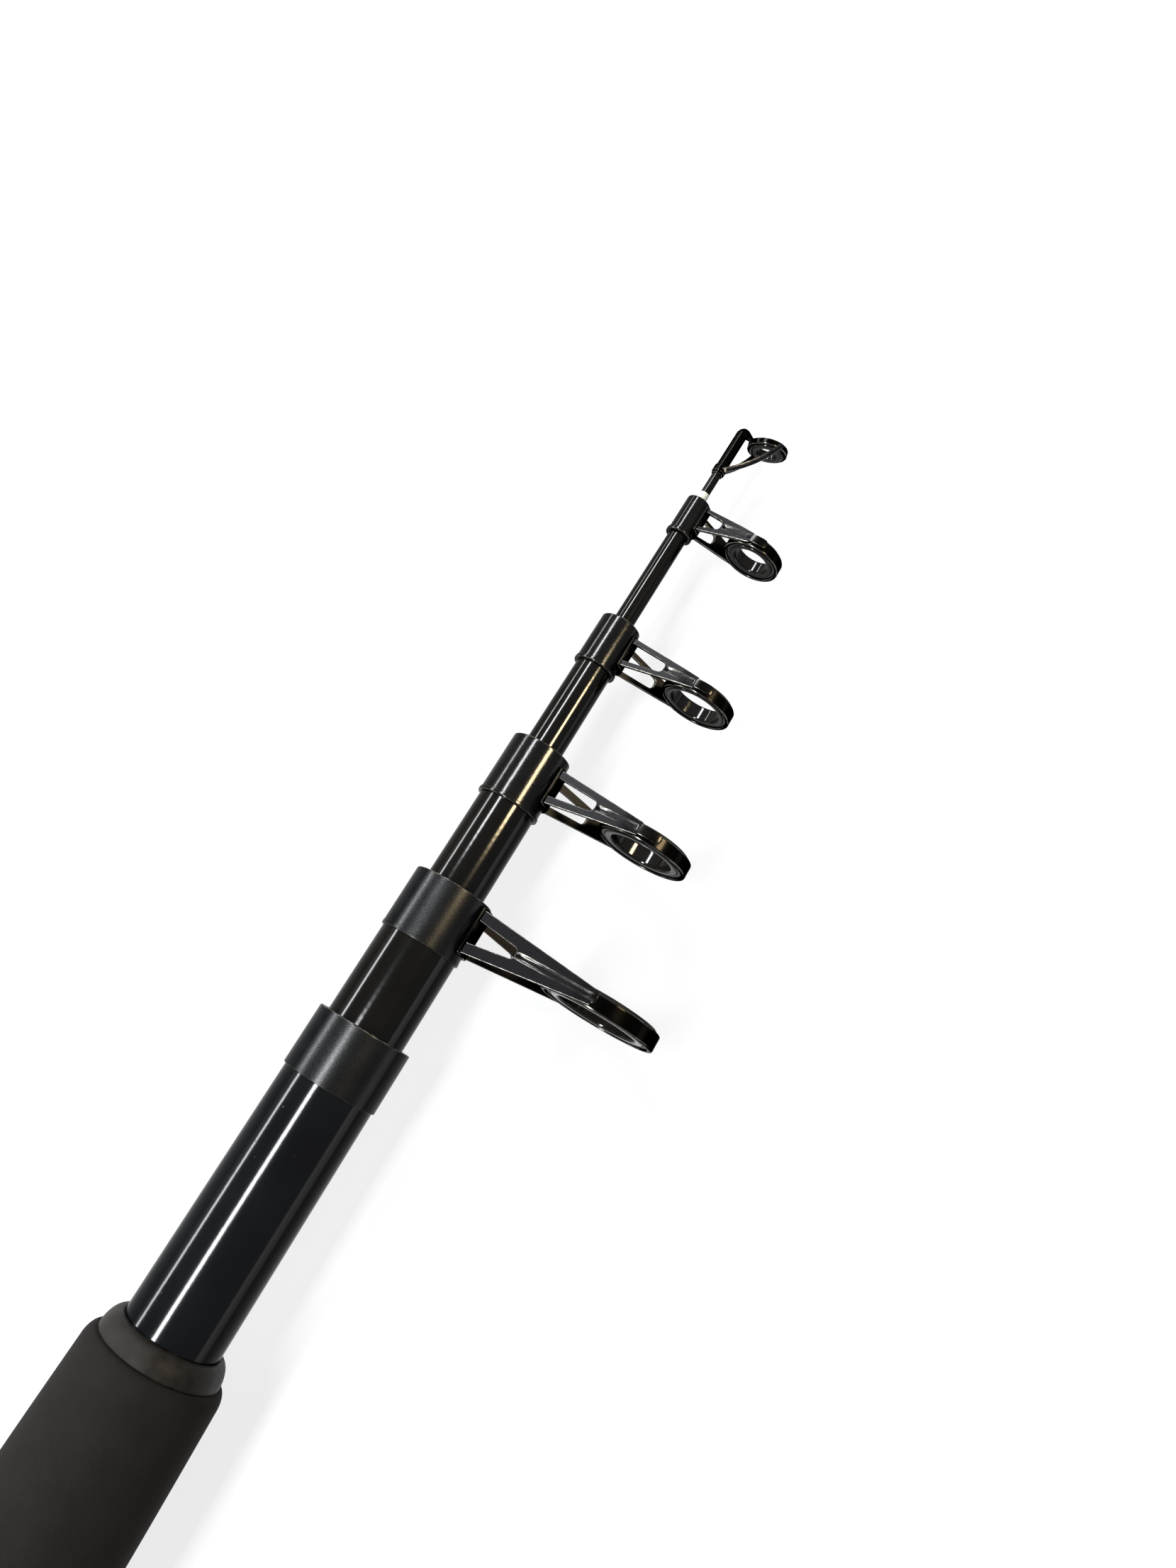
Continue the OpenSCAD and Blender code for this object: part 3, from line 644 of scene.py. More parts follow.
class Shell:
    """Closed surfaces, in millimetres, gathered into one mesh."""

    def __init__(self) -> None:
        """Starts with nothing in it."""
        self.points: list[Array] = []
        self.edges: list[Array] = []
        self.quads: list[Array] = []
        self.tris: list[Array] = []
        self.quad_paint: list[Array] = []
        self.tri_paint: list[Array] = []
        self.count = 0

    def add(self, grid: Array, edge: Array | float = 0.0, capped: bool = False,
            paint: Paint = Paint.MAIN) -> None:
        """Adds one closed surface, with its faces turned outwards by the sign of its volume.

        The grid's second direction always closes on itself. The first closes too, or each of its
        end rows is joined to its own middle by a fan of triangles.

        Args:
            grid: Points, rows by columns by three.
            edge: How much each point lies on a rounded edge, for the finishes that show wear, and on steel
                a painted edge highlight.
            capped: True for fans at the ends instead of a first direction that closes.
            paint: Which of the piece's materials it wears.
        """
        rows, columns = grid.shape[:2]
        index = np.arange(rows * columns).reshape(rows, columns)
        points = grid.reshape(-1, 3)
        marks = np.broadcast_to(edge, (rows, columns)).reshape(-1)
        after = np.roll(index, -1, axis=0)
        quads = np.stack([index, after, np.roll(after, -1, axis=1), np.roll(index, -1, axis=1)], axis=-1)
        tris = np.zeros((0, 3), dtype=int)
        if capped:
            quads = quads[:-1]
            middles = np.stack([grid[0].mean(axis=0), grid[-1].mean(axis=0)])
            points = np.concatenate([points, middles])
            marks = np.concatenate([marks, np.zeros(2)])
            first = np.full(columns, rows * columns)
            head = np.stack([index[0], np.roll(index[0], -1), first], axis=-1)
            tail = np.stack([np.roll(index[-1], -1), index[-1], first + 1], axis=-1)
            tris = np.concatenate([head, tail])
        quads = quads.reshape(-1, 4)
        flat = np.concatenate([quads[:, [0, 1, 2]], quads[:, [0, 2, 3]], tris])
        corner = points[flat]
        volume = np.einsum("ij,ij->", corner[:, 0], np.cross(corner[:, 1], corner[:, 2]))
        if volume < 0.0:
            quads = quads[:, ::-1]
            tris = tris[:, ::-1]
        self.points.append(points)
        self.edges.append(marks)
        self.quads.append(quads + self.count)
        self.tris.append(tris + self.count)
        self.quad_paint.append(np.full(len(quads), paint.value))
        self.tri_paint.append(np.full(len(tris), paint.value))
        self.count += len(points)

    def build(self, name: str, body: str, slot: str, nodes: list[str],
              paints: list[Material]) -> bpy.types.Object:
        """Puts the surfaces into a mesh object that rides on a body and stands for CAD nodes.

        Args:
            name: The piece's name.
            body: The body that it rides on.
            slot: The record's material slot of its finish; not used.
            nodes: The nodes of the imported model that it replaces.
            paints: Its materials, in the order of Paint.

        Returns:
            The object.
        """
        quads = np.concatenate(self.quads)
        tris = np.concatenate(self.tris)
        mesh = bpy.data.meshes.new(name)
        mesh.vertices.add(self.count)
        mesh.vertices.foreach_set("co", (np.concatenate(self.points) * MM).astype(np.float32).ravel())
        mesh.loops.add(quads.size + tris.size)
        corners = np.concatenate([quads.ravel(), tris.ravel()])
        mesh.loops.foreach_set("vertex_index", corners.astype(np.int32))
        mesh.polygons.add(len(quads) + len(tris))
        starts = np.concatenate([np.arange(len(quads)) * 4, quads.size + np.arange(len(tris)) * 3])
        mesh.polygons.foreach_set("loop_start", starts.astype(np.int32))
        paint = np.concatenate(self.quad_paint + self.tri_paint)
        mesh.polygons.foreach_set("material_index", paint.astype(np.int32))
        mesh.polygons.foreach_set("use_smooth", np.ones(len(paint), dtype=bool))
        mesh.update(calc_edges=True)
        edge = mesh.attributes.new("edge", "FLOAT", "POINT")
        edge.data.foreach_set("value", np.concatenate(self.edges).astype(np.float32))
        for material in paints:
            mesh.materials.append(material)
        made = bpy.data.objects.new(name, mesh)
        bpy.context.scene.collection.objects.link(made)
        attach(made, body)
        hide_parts(*nodes)
        log.info("%s: %d faces on %s", name, len(paint), body)
        return made


class Side(Enum):
    """The two arms of a guide, by the sign of Y before the guide is turned."""

    UPPER = 1.0
    LOWER = -1.0


def faced(grid: Array, degrees: float, side: Side = Side.UPPER) -> Array:
    """Mirrors a grid for the lower arm, and turns it about the rod from where its ring stands up."""
    return swung(grid * np.array([1.0, side.value, 1.0]), degrees)


class Corner(NamedTuple):
    """A corner of a turned outline: its place, its radius, the reach of its rounding and its edge mark,
    shown as wear on collars and as wear with a painted highlight on steel.
    """

    x: float
    r: float
    cut: float
    wear_and_highlight: float = 1.0


def ring_corners(x0: float, x1: float, inner: float, outer: float, cuts: tuple[float, ...]) -> list[Corner]:
    """The four corners of a plain ring, from the inner rear one round by the outside."""
    return [Corner(x, r, cut) for x, r, cut in zip((x0, x0, x1, x1), (inner, outer, outer, inner), cuts)]


# A rounding reaches over no more than this share of a side
SIDE_SHARE = 0.42
# A holding point stands this many cuts from its corner
HOLD = 1.15


def eased(corners: Array, cuts: Array | float, closed: bool = True, steps: int = 5, run: int = 0,
          weights: Array | float = 1.0) -> tuple[Array, Array]:
    """Rounds the corners of an outline.

    Each corner C becomes the quadratic arc (1-t)^2 A + 2t(1-t) C + t^2 B, where A and B lie one cut
    from C on the lines to its neighbours, with a holding point beyond each end of the arc.

    Args:
        corners: The outline's corners, one row each.
        cuts: How far each rounding reaches from its corner, held to under half of each side.
        closed: False where the first and last corners are ends.
        steps: Points on each arc.
        run: Extra points on each side between two roundings.
        weights: The mark at the middle of each corner's arc.

    Returns:
        The points, and a mark for each that is the weight at the middle of an arc and 0 on the sides.
    """
    corners = np.asarray(corners, dtype=float)
    before = np.roll(corners, 1, axis=0) - corners
    after = np.roll(corners, -1, axis=0) - corners
    before_l = np.linalg.norm(before, axis=1)
    after_l = np.linalg.norm(after, axis=1)
    reach = np.minimum(np.broadcast_to(cuts, before_l.shape), SIDE_SHARE * np.minimum(before_l, after_l))
    if not closed:
        reach[[0, -1]] = 0.0
    to_before = before / np.maximum(before_l, TINY)[:, None]
    to_after = after / np.maximum(after_l, TINY)[:, None]
    t = np.linspace(0.0, 1.0, steps)[None, :, None]
    start = (corners + to_before * reach[:, None])[:, None]
    end = (corners + to_after * reach[:, None])[:, None]
    middle = corners[:, None]
    arc = (1 - t) ** 2 * start + 2 * t * (1 - t) * middle + t ** 2 * end
    hold_before = middle + HOLD * (start - middle)
    hold_after = middle + HOLD * (end - middle)
    side_end = np.roll(hold_before, -1, axis=0)
    share = np.linspace(0.0, 1.0, run + 2)[1:-1][None, :, None]
    side = hold_after + (side_end - hold_after) * share
    points = np.concatenate([hold_before, arc, hold_after, side], axis=1)
    mark = np.zeros(points.shape[:2])
    worth = np.broadcast_to(weights, before_l.shape)[:, None]
    mark[:, 1:1 + steps] = worth * 4.0 * t[0, :, 0] * (1.0 - t[0, :, 0])
    if not closed:
        keep = np.ones(points.shape[:2], dtype=bool)
        keep[0, :1 + steps] = False
        keep[-1, 1:] = False
        mark[[0, -1]] = 0.0
        return points[keep], mark[keep]
    return points.reshape(-1, 2), mark.reshape(-1)


def polar(x: Array, radius: Array, angle: Array, centre: tuple[float, float] = (0.0, 0.0)) -> Array:
    """A surface round an axis along X: point(q, a) = (x_q, cy + r(q, a) cos a, cz + r(q, a) sin a).

    Args:
        x: Places along the axis, one for each row.
        radius: One radius for each row, or one for each row and angle.
        angle: The angles of the columns, in radians.
        centre: Where the axis crosses the YZ plane.

    Returns:
        The grid of points.
    """
    spread = radius if radius.ndim == 2 else np.repeat(radius[:, None], len(angle), axis=1)
    along = np.repeat(x[:, None], len(angle), axis=1)
    y = centre[0] + spread * np.cos(angle)
    z = centre[1] + spread * np.sin(angle)
    return np.stack([along, y, z], axis=-1)


def round_angles(count: int) -> Array:
    """Evenly spaced angles once round."""
    return np.linspace(0.0, TURN, count, endpoint=False)


def turned(shell: Shell, corners: list[Corner], columns: int = RING_ROUND,
           centre: tuple[float, float] = (0.0, 0.0), paint: Paint = Paint.MAIN) -> None:
    """Adds a ring: a closed outline with rounded corners, turned round X.

    Args:
        shell: The shell that gets the ring.
        corners: The outline's corners, in order.
        columns: Columns round the ring.
        centre: Where its axis crosses the YZ plane.
        paint: Which of the piece's materials it wears.
    """
    table = np.array(corners)
    outline, mark = eased(table[:, :2], table[:, 2], weights=table[:, 3])
    grid = polar(outline[:, 0], outline[:, 1], round_angles(columns), centre)
    shell.add(grid, mark[:, None], paint=paint)


def turned_bar(shell: Shell, corners: list[Corner], columns: int) -> None:
    """Adds a solid of turning: an open outline, closed by a fan at each end.

    Args:
        shell: The shell that gets the solid.
        corners: The outline's corners, from its rear end to its front end.
        columns: Columns round it.
    """
    table = np.array(corners)
    outline, mark = eased(table[:, :2], table[:, 2], closed=False, weights=table[:, 3])
    shell.add(polar(outline[:, 0], outline[:, 1], round_angles(columns)), mark[:, None], capped=True)


# The marks of the points on each rounded edge of a strap, which the steel finishes show as wear with a
# painted highlight
EDGE_MARKS = (0.2, 0.9, 1.0, 0.9, 0.2)
# An edge's radius stays under this share of the strap's half width or thickness
EDGE_LIMIT = 0.98


def strap(path: Array, across: Array, out: Array, half_w: Array, half_t: Array,
          corner: float) -> tuple[Array, Array]:
    """A flat bar: a rounded rectangle carried along a path.

    point(s, k) = path(s) + across(s) (sx (w - e) + e cos k) + out(s) (sy (t - e) + e sin k), where sx
    and sy are the signs of the section's corner k and e is the corner's radius.

    Args:
        path: The middle of the bar, one row for each station.
        across: The direction of its width, one for all stations or one for each.
        out: The direction of its thickness, likewise.
        half_w: Half of its width at each station.
        half_t: Half of its thickness at each station.
        corner: The radius of its four edges.

    Returns:
        The grid of points, and the mark of its edges.
    """
    steps = len(EDGE_MARKS)
    turn = (np.arange(4)[:, None] * QUARTER + np.linspace(0.0, QUARTER, steps)).ravel()
    sign_w = np.repeat([1.0, -1.0, -1.0, 1.0], steps)
    sign_t = np.repeat([1.0, 1.0, -1.0, -1.0], steps)
    e = np.minimum(corner, EDGE_LIMIT * np.minimum(half_w, half_t))[:, None]
    w = sign_w * (half_w[:, None] - e) + e * np.cos(turn)
    t = sign_t * (half_t[:, None] - e) + e * np.sin(turn)
    across, out = (np.broadcast_to(way, path.shape)[:, None] for way in (across, out))
    grid = path[:, None] + across * w[..., None] + out * t[..., None]
    return grid, np.tile(np.tile(EDGE_MARKS, 4), (len(path), 1))


# A tapered end stops just short of a point
TAPER = 0.985


def end_taper(along: Array, length: float, reach_start: float, reach_end: float) -> Array:
    """A share of the width that falls along a quarter circle within a reach of each end.

    Args:
        along: Places along the bar.
        length: Its length.
        reach_start: How far the taper reaches from its start.
        reach_end: How far it reaches from its end.

    Returns:
        The share at each place.
    """
    from_start = np.clip(1.0 - along / max(reach_start, TINY), 0.0, 1.0)
    from_end = np.clip(1.0 - (length - along) / max(reach_end, TINY), 0.0, 1.0)
    return np.sqrt(1.0 - TAPER * from_start ** 2) * np.sqrt(1.0 - TAPER * from_end ** 2)


def end_stations(length: float, reach_start: float, reach_end: float, count: int = 24) -> Array:
    """Stations along a length, closer together within a reach of each end.

    Args:
        length: The length.
        reach_start: The reach at its start.
        reach_end: The reach at its end.
        count: How many stations lie between the two reaches.

    Returns:
        The stations, in order.
    """
    ease = 1.0 - np.cos(np.linspace(0.0, QUARTER, 9))
    return np.unique(np.concatenate([
        ease * reach_start, np.linspace(reach_start, length - reach_end, count), length - ease * reach_end,
    ]))


# Sub-assemblies

@dataclass(frozen=True)
class Stage:
    """One tube of the rod: a tapered tube with a flared foot, or the solid tip."""

    node: str
    body: str
    top_d: float
    rear_d: float
    wall: float
    waist_d: float = 0.0
    overlap: float = 0.0
    mouth_l: float = 0.0
    mouth_flare: float = 0.15
    edge: float = 0.2
    pole_r: float = 0.3

    def build(self, paint: Material) -> None:
        """Turns the tube's outline: outside from rear to front, then its bore back.

        Args:
            paint: Its material.
        """
        box = node_box(self.node)
        rear_r = self.rear_d / 2
        top_r = self.top_d / 2
        outside = [Corner(box.x0, rear_r, self.edge)]
        if self.waist_d:
            outside.append(Corner(box.x0 + self.overlap, self.waist_d / 2, self.edge))
        outside.append(Corner(box.x1, top_r, self.edge))
        shell = Shell()
        if self.wall:
            mouth_r = top_r - self.wall
            bore = [Corner(box.x1, mouth_r, self.edge),
                    Corner(box.x1 - self.mouth_l, mouth_r + self.mouth_flare, self.edge),
                    Corner(box.x0, rear_r - self.wall, self.edge)]
            turned(shell, outside + bore, WIDE_ROUND)
        else:
            rear_pole = Corner(box.x0, self.pole_r, self.edge)
            front_pole = Corner(box.x1, self.pole_r, self.edge)
            turned_bar(shell, [rear_pole, *outside, front_pole], THIN_ROUND)
        shell.build(self.node + "_lacquered", self.body, "tube_lacquer", [self.node], [paint])

    def radius_at(self, x: float) -> float:
        """The outer radius at a place along a stage that is one straight taper."""
        box = node_box(self.node)
        return self.rear_d / 2 + (self.top_d - self.rear_d) / 2 * (x - box.x0) / (box.x1 - box.x0)


HANDLE_TUBE = Stage("butt_tube", "handle", top_d=20.6, rear_d=22.0, wall=1.0, mouth_l=40.0)


@dataclass(frozen=True)
class Blank:
    """The six stages of the blank, from the handle's tube to the tip, and the band on the tip."""

    stages: tuple[Stage, ...] = (
        HANDLE_TUBE,
        Stage("section_2_tube", "section_2", top_d=17.8, rear_d=18.8, wall=0.9,
              waist_d=18.5, overlap=40.0, mouth_l=37.5),
        Stage("section_3_tube", "section_3", top_d=13.4, rear_d=16.2, wall=0.8,
              waist_d=15.9, overlap=37.5, mouth_l=35.0),
        Stage("section_4_tube", "section_4", top_d=8.7, rear_d=12.0, wall=0.7,
              waist_d=11.7, overlap=35.0, mouth_l=32.5),
        Stage("section_5_tube", "section_5", top_d=4.8, rear_d=7.5, wall=0.6,
              waist_d=7.2, overlap=32.5, mouth_l=30.0),
        Stage("tip_blank", "tip", top_d=2.3, rear_d=3.8, wall=0.0, waist_d=3.5, overlap=30.0),
    )
    band_sink: float = 0.12
    band_wall: float = 0.08
    band_edge: float = 0.06
    band_edge_drop: float = 0.04
    band_turns: int = 9
    turn_rows: int = 8
    turn_height: float = 0.004
    turn_form: float = 0.7
    band_columns: int = 64

    def build(self, paints: Paints) -> None:
        """Builds each stage and the tip's binding.

        Args:
            paints: The materials.
        """
        for stage in self.stages:
            stage.build(paints.butt if stage is HANDLE_TUBE else paints.section)
        self.binding(paints)

    def binding(self, paints: Paints) -> None:
        """The pale band: a thin ring whose outside has a faint ridge for each turn of its thread.

        The outside's radius is r(u) = outer - h (1 - |sin(pi n u)|^q), with n turns of height h.

        Args:
            paints: The materials.
        """
        box = node_box("tip_band")
        outer = box.y1 - self.band_sink
        inner = outer - self.band_wall
        along = np.linspace(0.0, 1.0, self.band_turns * self.turn_rows + 1)
        x = box.x0 + self.band_edge + (box.x1 - box.x0 - 2 * self.band_edge) * along
        turns = np.abs(np.sin(np.pi * self.band_turns * along)) ** self.turn_form
        crest = outer - self.turn_height * (1.0 - turns)
        edge_r = outer - self.band_edge_drop
        x_all = np.concatenate([[box.x0, box.x0], x, [box.x1, box.x1]])
        r_all = np.concatenate([[inner, edge_r], crest, [edge_r, inner]])
        shell = Shell()
        shell.add(polar(x_all, r_all, round_angles(self.band_columns)))
        shell.build("tip_band_thread", "tip", "band_wrap", ["tip_band"], [paints.band])


@dataclass(frozen=True)
class Collar:
    """A collar over the front end of a stage, with its lip and the bead round its rear edge."""

    node: str
    body: str
    bead_h: float
    bore_d: float
    mouth_d: float
    bead_l: float = 0.9
    lip_t: float = 1.0

    def build(self, paint: Material) -> None:
        """Turns the collar's outline, with soft edges and a rounded bead.

        Args:
            paint: Its material.
        """
        box = node_box(self.node)
        r = box.y1 - self.bead_h
        bore_r = self.bore_d / 2
        mouth_r = self.mouth_d / 2
        bead_x = box.x0 + self.bead_l
        lip_x = box.x1 - self.lip_t
        bead = [Corner(bead_x, box.y1, cut=0.35, wear_and_highlight=0.3), Corner(bead_x, r, cut=0.1, wear_and_highlight=0.0)]
        shell = Shell()
        turned(shell, [
            Corner(box.x0, bore_r, cut=0.05, wear_and_highlight=0.0),
            Corner(box.x0, box.y1, cut=0.35, wear_and_highlight=0.3),
            *(bead if self.bead_h else []),
            Corner(box.x1, r, cut=0.3, wear_and_highlight=1.0),
            Corner(box.x1, mouth_r, cut=0.2, wear_and_highlight=0.5),
            Corner(lip_x, mouth_r, cut=0.1, wear_and_highlight=0.0),
            Corner(lip_x, bore_r, cut=0.05, wear_and_highlight=0.0),
        ], WIDE_ROUND)
        shell.build(self.node + "_turned", self.body, "collar_metal", [self.node], [paint])


@dataclass(frozen=True)
class GuidePlace:
    """Where a guide's pieces stand, with the ring above the collar.

    The arms rise from (arm_y, arm_z) on the collar at a tilt, and after arm_l they touch a circle of
    radius seat_r round the ring's middle.
    """

    x: float
    collar_r: float
    ring_x: float
    ring_h: float
    rim_r: float
    seat_r: float
    arm_y: float
    arm_z: float
    arm_l: float
    tilt: float


@dataclass(frozen=True)
class Guide:
    """A two-legged line guide on its collar: saddle, two windowed arms with tabs, rim, shock ring, insert.

    It is worked out with the ring above the collar, and then turned so that the ring faces -Y.
    """

    number: int
    bore_d: float
    insert_t: float
    shock_t: float
    rim_t: float
    ring_w: float
    foot_l: float
    leg_w: float
    window_l: float
    window_end_w: float
    arm_end_w: float
    tab_w: float
    tab_end: float
    ring_ahead: float
    foot_ahead: float
    collar: Collar
    insert_cut: float = 0.55
    insert_cut_share: float = 1 / 2.6
    rim_step: float = 0.8
    rim_back: float = 0.2
    rim_round: float = 0.42
    plate_t: float = 0.9
    plate_foot_cut: float = 0.4
    plate_end_cut: float = 0.3
    edge_r: float = 0.15
    edge_wear_and_highlight: float = 0.4
    arm_sink: float = 0.25
    thin_share: float = 1.5
    window_foot: float = 0.4
    window_edge: float = 0.8
    window_round: float = 0.42
    channel_share: float = 0.44
    channel_side: float = 0.12
    channel_end: float = 0.3
    channel_highlight: float = 0.7
    tab_t: float = 0.7
    tab_back: float = 4.0
    tab_start: float = 0.2
    tab_round: float = 0.45
    tab_thin: float = 0.25
    foot_angle: float = 31.0
    saddle_spare: float = 3.0
    saddle_round: float = 0.6
    saddle_taper: float = 0.5
    saddle_thin: float = 0.3
    saddle_edge: float = 0.25
    saddle_wear_and_highlight: float = 0.3
    face_rows: int = 28
    edge_rows: int = 6
    corner_points: int = 9
    side_points: int = 30
    swing: float = 90.0

    @cached_property
    def at(self) -> GuidePlace:
        """Works out the guide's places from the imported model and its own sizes.

        Returns:
            The places.
        """
        collar = node_box(self.collar.node)
        ring = node_box(f"guide_{self.number}_insert")
        collar_r = collar.y1 - self.collar.bead_h
        ring_h = -(ring.y0 + ring.y1) / 2
        rim_r = self.bore_d / 2 + self.insert_t + self.shock_t + self.rim_t
        seat_r = rim_r - self.arm_sink
        angle = math.radians(self.foot_angle)
        arm_y = collar_r * math.sin(angle)
        arm_z = collar_r * math.cos(angle)
        rise = ring_h - arm_z
        reach = math.hypot(arm_y, rise)
        return GuidePlace(
            x=(collar.x0 + collar.x1) / 2, collar_r=collar_r, ring_x=(ring.x0 + ring.x1) / 2,
            ring_h=ring_h, rim_r=rim_r, seat_r=seat_r, arm_y=arm_y, arm_z=arm_z,
            arm_l=math.sqrt(reach ** 2 - seat_r ** 2),
            tilt=math.asin(seat_r / reach) - math.atan2(arm_y, rise),
        )

    def mid_x(self, u: Array | float) -> Array | float:
        """The middle of an arm's width, along the rod from the collar's middle, at a height u."""
        return self.foot_ahead + (self.ring_ahead - self.foot_ahead) * u / self.at.arm_l

    def half_w(self, u: float) -> float:
        """Half of an arm's width at a height u."""
        return self.foot_l / 2 + (self.arm_end_w - self.foot_l) / 2 * u / self.at.arm_l

    def build(self, paints: Paints, top: bool) -> None:
        """Builds the collar, the frame, the shock ring and the insert.

        Args:
            paints: The materials.
            top: True for the glossier collars near the tip.
        """
        self.collar.build(paints.top_collar if top else paints.collar)
        shell = Shell()
        self.saddle(shell)
        for side in Side:
            self.arm(shell, side)
            self.tab(shell, side)
        self.rim(shell)
        node = f"guide_{self.number}_frame"
        shell.build(f"guide_{self.number}_pressed_frame", self.collar.body, "guide_steel", [node],
                    [paints.sheet, paints.rim])
        bore_r = self.bore_d / 2
        shock_r = bore_r + self.insert_t
        insert_cut = min(self.insert_cut, self.insert_t * self.insert_cut_share)
        shock = self.ring(shock_r + FIT, shock_r + self.shock_t - FIT,
                          self.ring_w - self.rim_step / 2, self.shock_t / 4)
        insert = self.ring(bore_r, shock_r, self.ring_w, insert_cut)
        for ring, part, slot, paint in ((shock, "shock_ring", "shock_plastic", paints.shock),
                                        (insert, "insert", "ring_ceramic", paints.ceramic)):
            node = f"guide_{self.number}_{part}"
            ring.build(node + "_turned", self.collar.body, slot, [node], [paint])

    def trapezoid(self, low: tuple[float, float], high: tuple[float, float],
                  cuts: tuple[float, float]) -> Array:
        """An outline with rounded corners on an arm, even on both sides of the arm's middle.

        Args:
            low: The height of its lower side, and half of that side's length.
            high: The same for its upper side.
            cuts: How far the corners of the lower and of the upper side are rounded.

        Returns:
            The outline, along the rod and up the arm, anticlockwise.
        """
        low_x = self.mid_x(low[0])
        high_x = self.mid_x(high[0])
        corners = np.array([(low_x - low[1], low[0]), (low_x + low[1], low[0]),
                            (high_x + high[1], high[0]), (high_x - high[1], high[0])])
        reach = np.repeat(cuts, 2)
        outline, _ = eased(corners, reach, steps=self.corner_points, run=self.side_points)
        return outline

    def arm(self, shell: Shell, side: Side) -> None:
        """One arm: a slab with rounded edges carried round its window.

        The window's outline and the plate's outline have the same number of points, so the slab's
        faces are the straight lines between them, with each outline drawn in by the edge's radius.

        Args:
            shell: The shell that gets the arm.
            side: Which of the two arms it is.
        """
        at = self.at
        sunk = self.plate_t / 2
        foot = self.plate_t * self.window_foot
        inner = self.trapezoid(
            (foot, self.half_w(foot) - self.leg_w), (self.window_l, self.window_end_w / 2),
            (self.plate_foot_cut, self.window_end_w * self.window_round))
        outer = self.trapezoid(
            (-sunk, self.half_w(-sunk)), (at.arm_l, self.arm_end_w / 2),
            (self.plate_foot_cut, self.plate_end_cut))
        inner_in = inner + self.edge_r * self.outward(inner)
        outer_in = outer - self.edge_r * self.outward(outer)
        face = inner_in + (outer_in - inner_in) * np.linspace(0.0, 1.0, self.face_rows)[:, None, None]
        turn = np.linspace(0.0, QUARTER, self.edge_rows)[1:]
        sine = np.sin(turn)[:, None, None]
        outer_round = outer_in + (outer - outer_in) * sine
        inner_round = inner_in + (inner - inner_in) * sine
        flat = np.concatenate([
            face, outer_round, outer_round[::-1], face[::-1], inner_round, inner_round[::-1],
        ])
        lift = self.arm_lift(flat, turn)
        up = np.array([0.0, math.sin(at.tilt), math.cos(at.tilt)])
        out = np.array([0.0, math.cos(at.tilt), -math.sin(at.tilt)])
        start = np.array([at.x, at.arm_y, at.arm_z])
        grid = start + flat[..., :1] * ALONG + flat[..., 1:] * up + lift[..., None] * out
        shell.add(faced(grid, self.swing, side), self.arm_marks(flat, turn))

    def arm_lift(self, flat: Array, turn: Array) -> Array:
        """How far each point of an arm stands out from its inner face.

        The outer face lies at the plate's thickness less the channel, the edges follow quarter
        circles, and the whole arm thins to the tab's thickness at its end.

        Args:
            flat: The points, along the rod and up the arm.
            turn: The angles of the rows on a rounded edge.

        Returns:
            The distance of each point.
        """
        drop = self.edge_r * (1.0 - np.cos(turn))
        bottom = np.zeros(self.face_rows)
        height = np.concatenate([bottom + self.plate_t, self.plate_t - drop, drop[::-1],
                                 bottom, drop, (self.plate_t - drop)[::-1]])
        lift = np.repeat(height[:, None], flat.shape[1], axis=1)
        lift[:self.face_rows] -= self.channel(flat[:self.face_rows])
        thin_l = self.thin_share * self.arm_end_w
        near_end = smooth_step(flat[..., 1], self.at.arm_l - thin_l, self.at.arm_l)
        return lift * (1.0 - (1.0 - self.tab_t / self.plate_t) * near_end)

    def arm_marks(self, flat: Array, turn: Array) -> Array:
        """How much each point of an arm lies on an edge: its rounded edges, shown as wear with a painted
        highlight, and the channel's sides, shown as a painted highlight.

        Args:
            flat: The points, along the rod and up the arm.
            turn: The angles of the rows on a rounded edge.

        Returns:
            The mark of each point, which fades to 0 under the tab.
        """
        # Rounded edges: wear with a painted highlight
        rounds = np.sin(turn * 2.0) * (1.0 - self.edge_wear_and_highlight) + self.edge_wear_and_highlight
        none = np.zeros(self.face_rows)
        mark = np.concatenate([none, rounds, rounds[::-1], none, rounds, rounds[::-1]])
        marks = np.repeat(mark[:, None], flat.shape[1], axis=1)
        slope = np.abs(np.gradient(self.channel(flat[:self.face_rows]), axis=1))
        # Painted highlight along the channel's sides
        marks[:self.face_rows] += np.clip(slope / max(slope.max(), TINY), 0.0, 1.0) * self.channel_highlight
        return marks * (1.0 - smooth_step(flat[..., 1], self.at.arm_l - self.tab_t, self.at.arm_l))

    def channel(self, points: Array) -> Array:
        """The depth of the pressed channel, a third of the plate's thickness with soft sides and ends.

        Args:
            points: Places on an arm's outer face, along the rod and up the arm.

        Returns:
            The depth at each place.
        """
        x = points[..., 0] - self.mid_x(points[..., 1])
        u = points[..., 1]
        half = self.tab_w * self.channel_share / 2
        start = self.window_l + self.window_edge
        inside = smooth_step(half - np.abs(x), -self.channel_side, self.channel_side)
        low = smooth_step(u, start - self.channel_end, start + self.channel_end)
        left = self.at.arm_l - self.window_edge - u
        high = smooth_step(left, -self.channel_end, self.channel_end)
        return self.plate_t / 3 * inside * low * high

    @staticmethod
    def outward(loop: Array) -> Array:
        """The outward normals of a closed outline that runs anticlockwise, softened at its corners.

        Args:
            loop: The outline's points.

        Returns:
            A unit vector for each point.
        """
        tangent = np.roll(loop, -1, axis=0) - np.roll(loop, 1, axis=0)
        tangent /= np.maximum(np.linalg.norm(tangent, axis=1), TINY)[:, None]
        return np.stack([tangent[:, 1], -tangent[:, 0]], axis=-1)

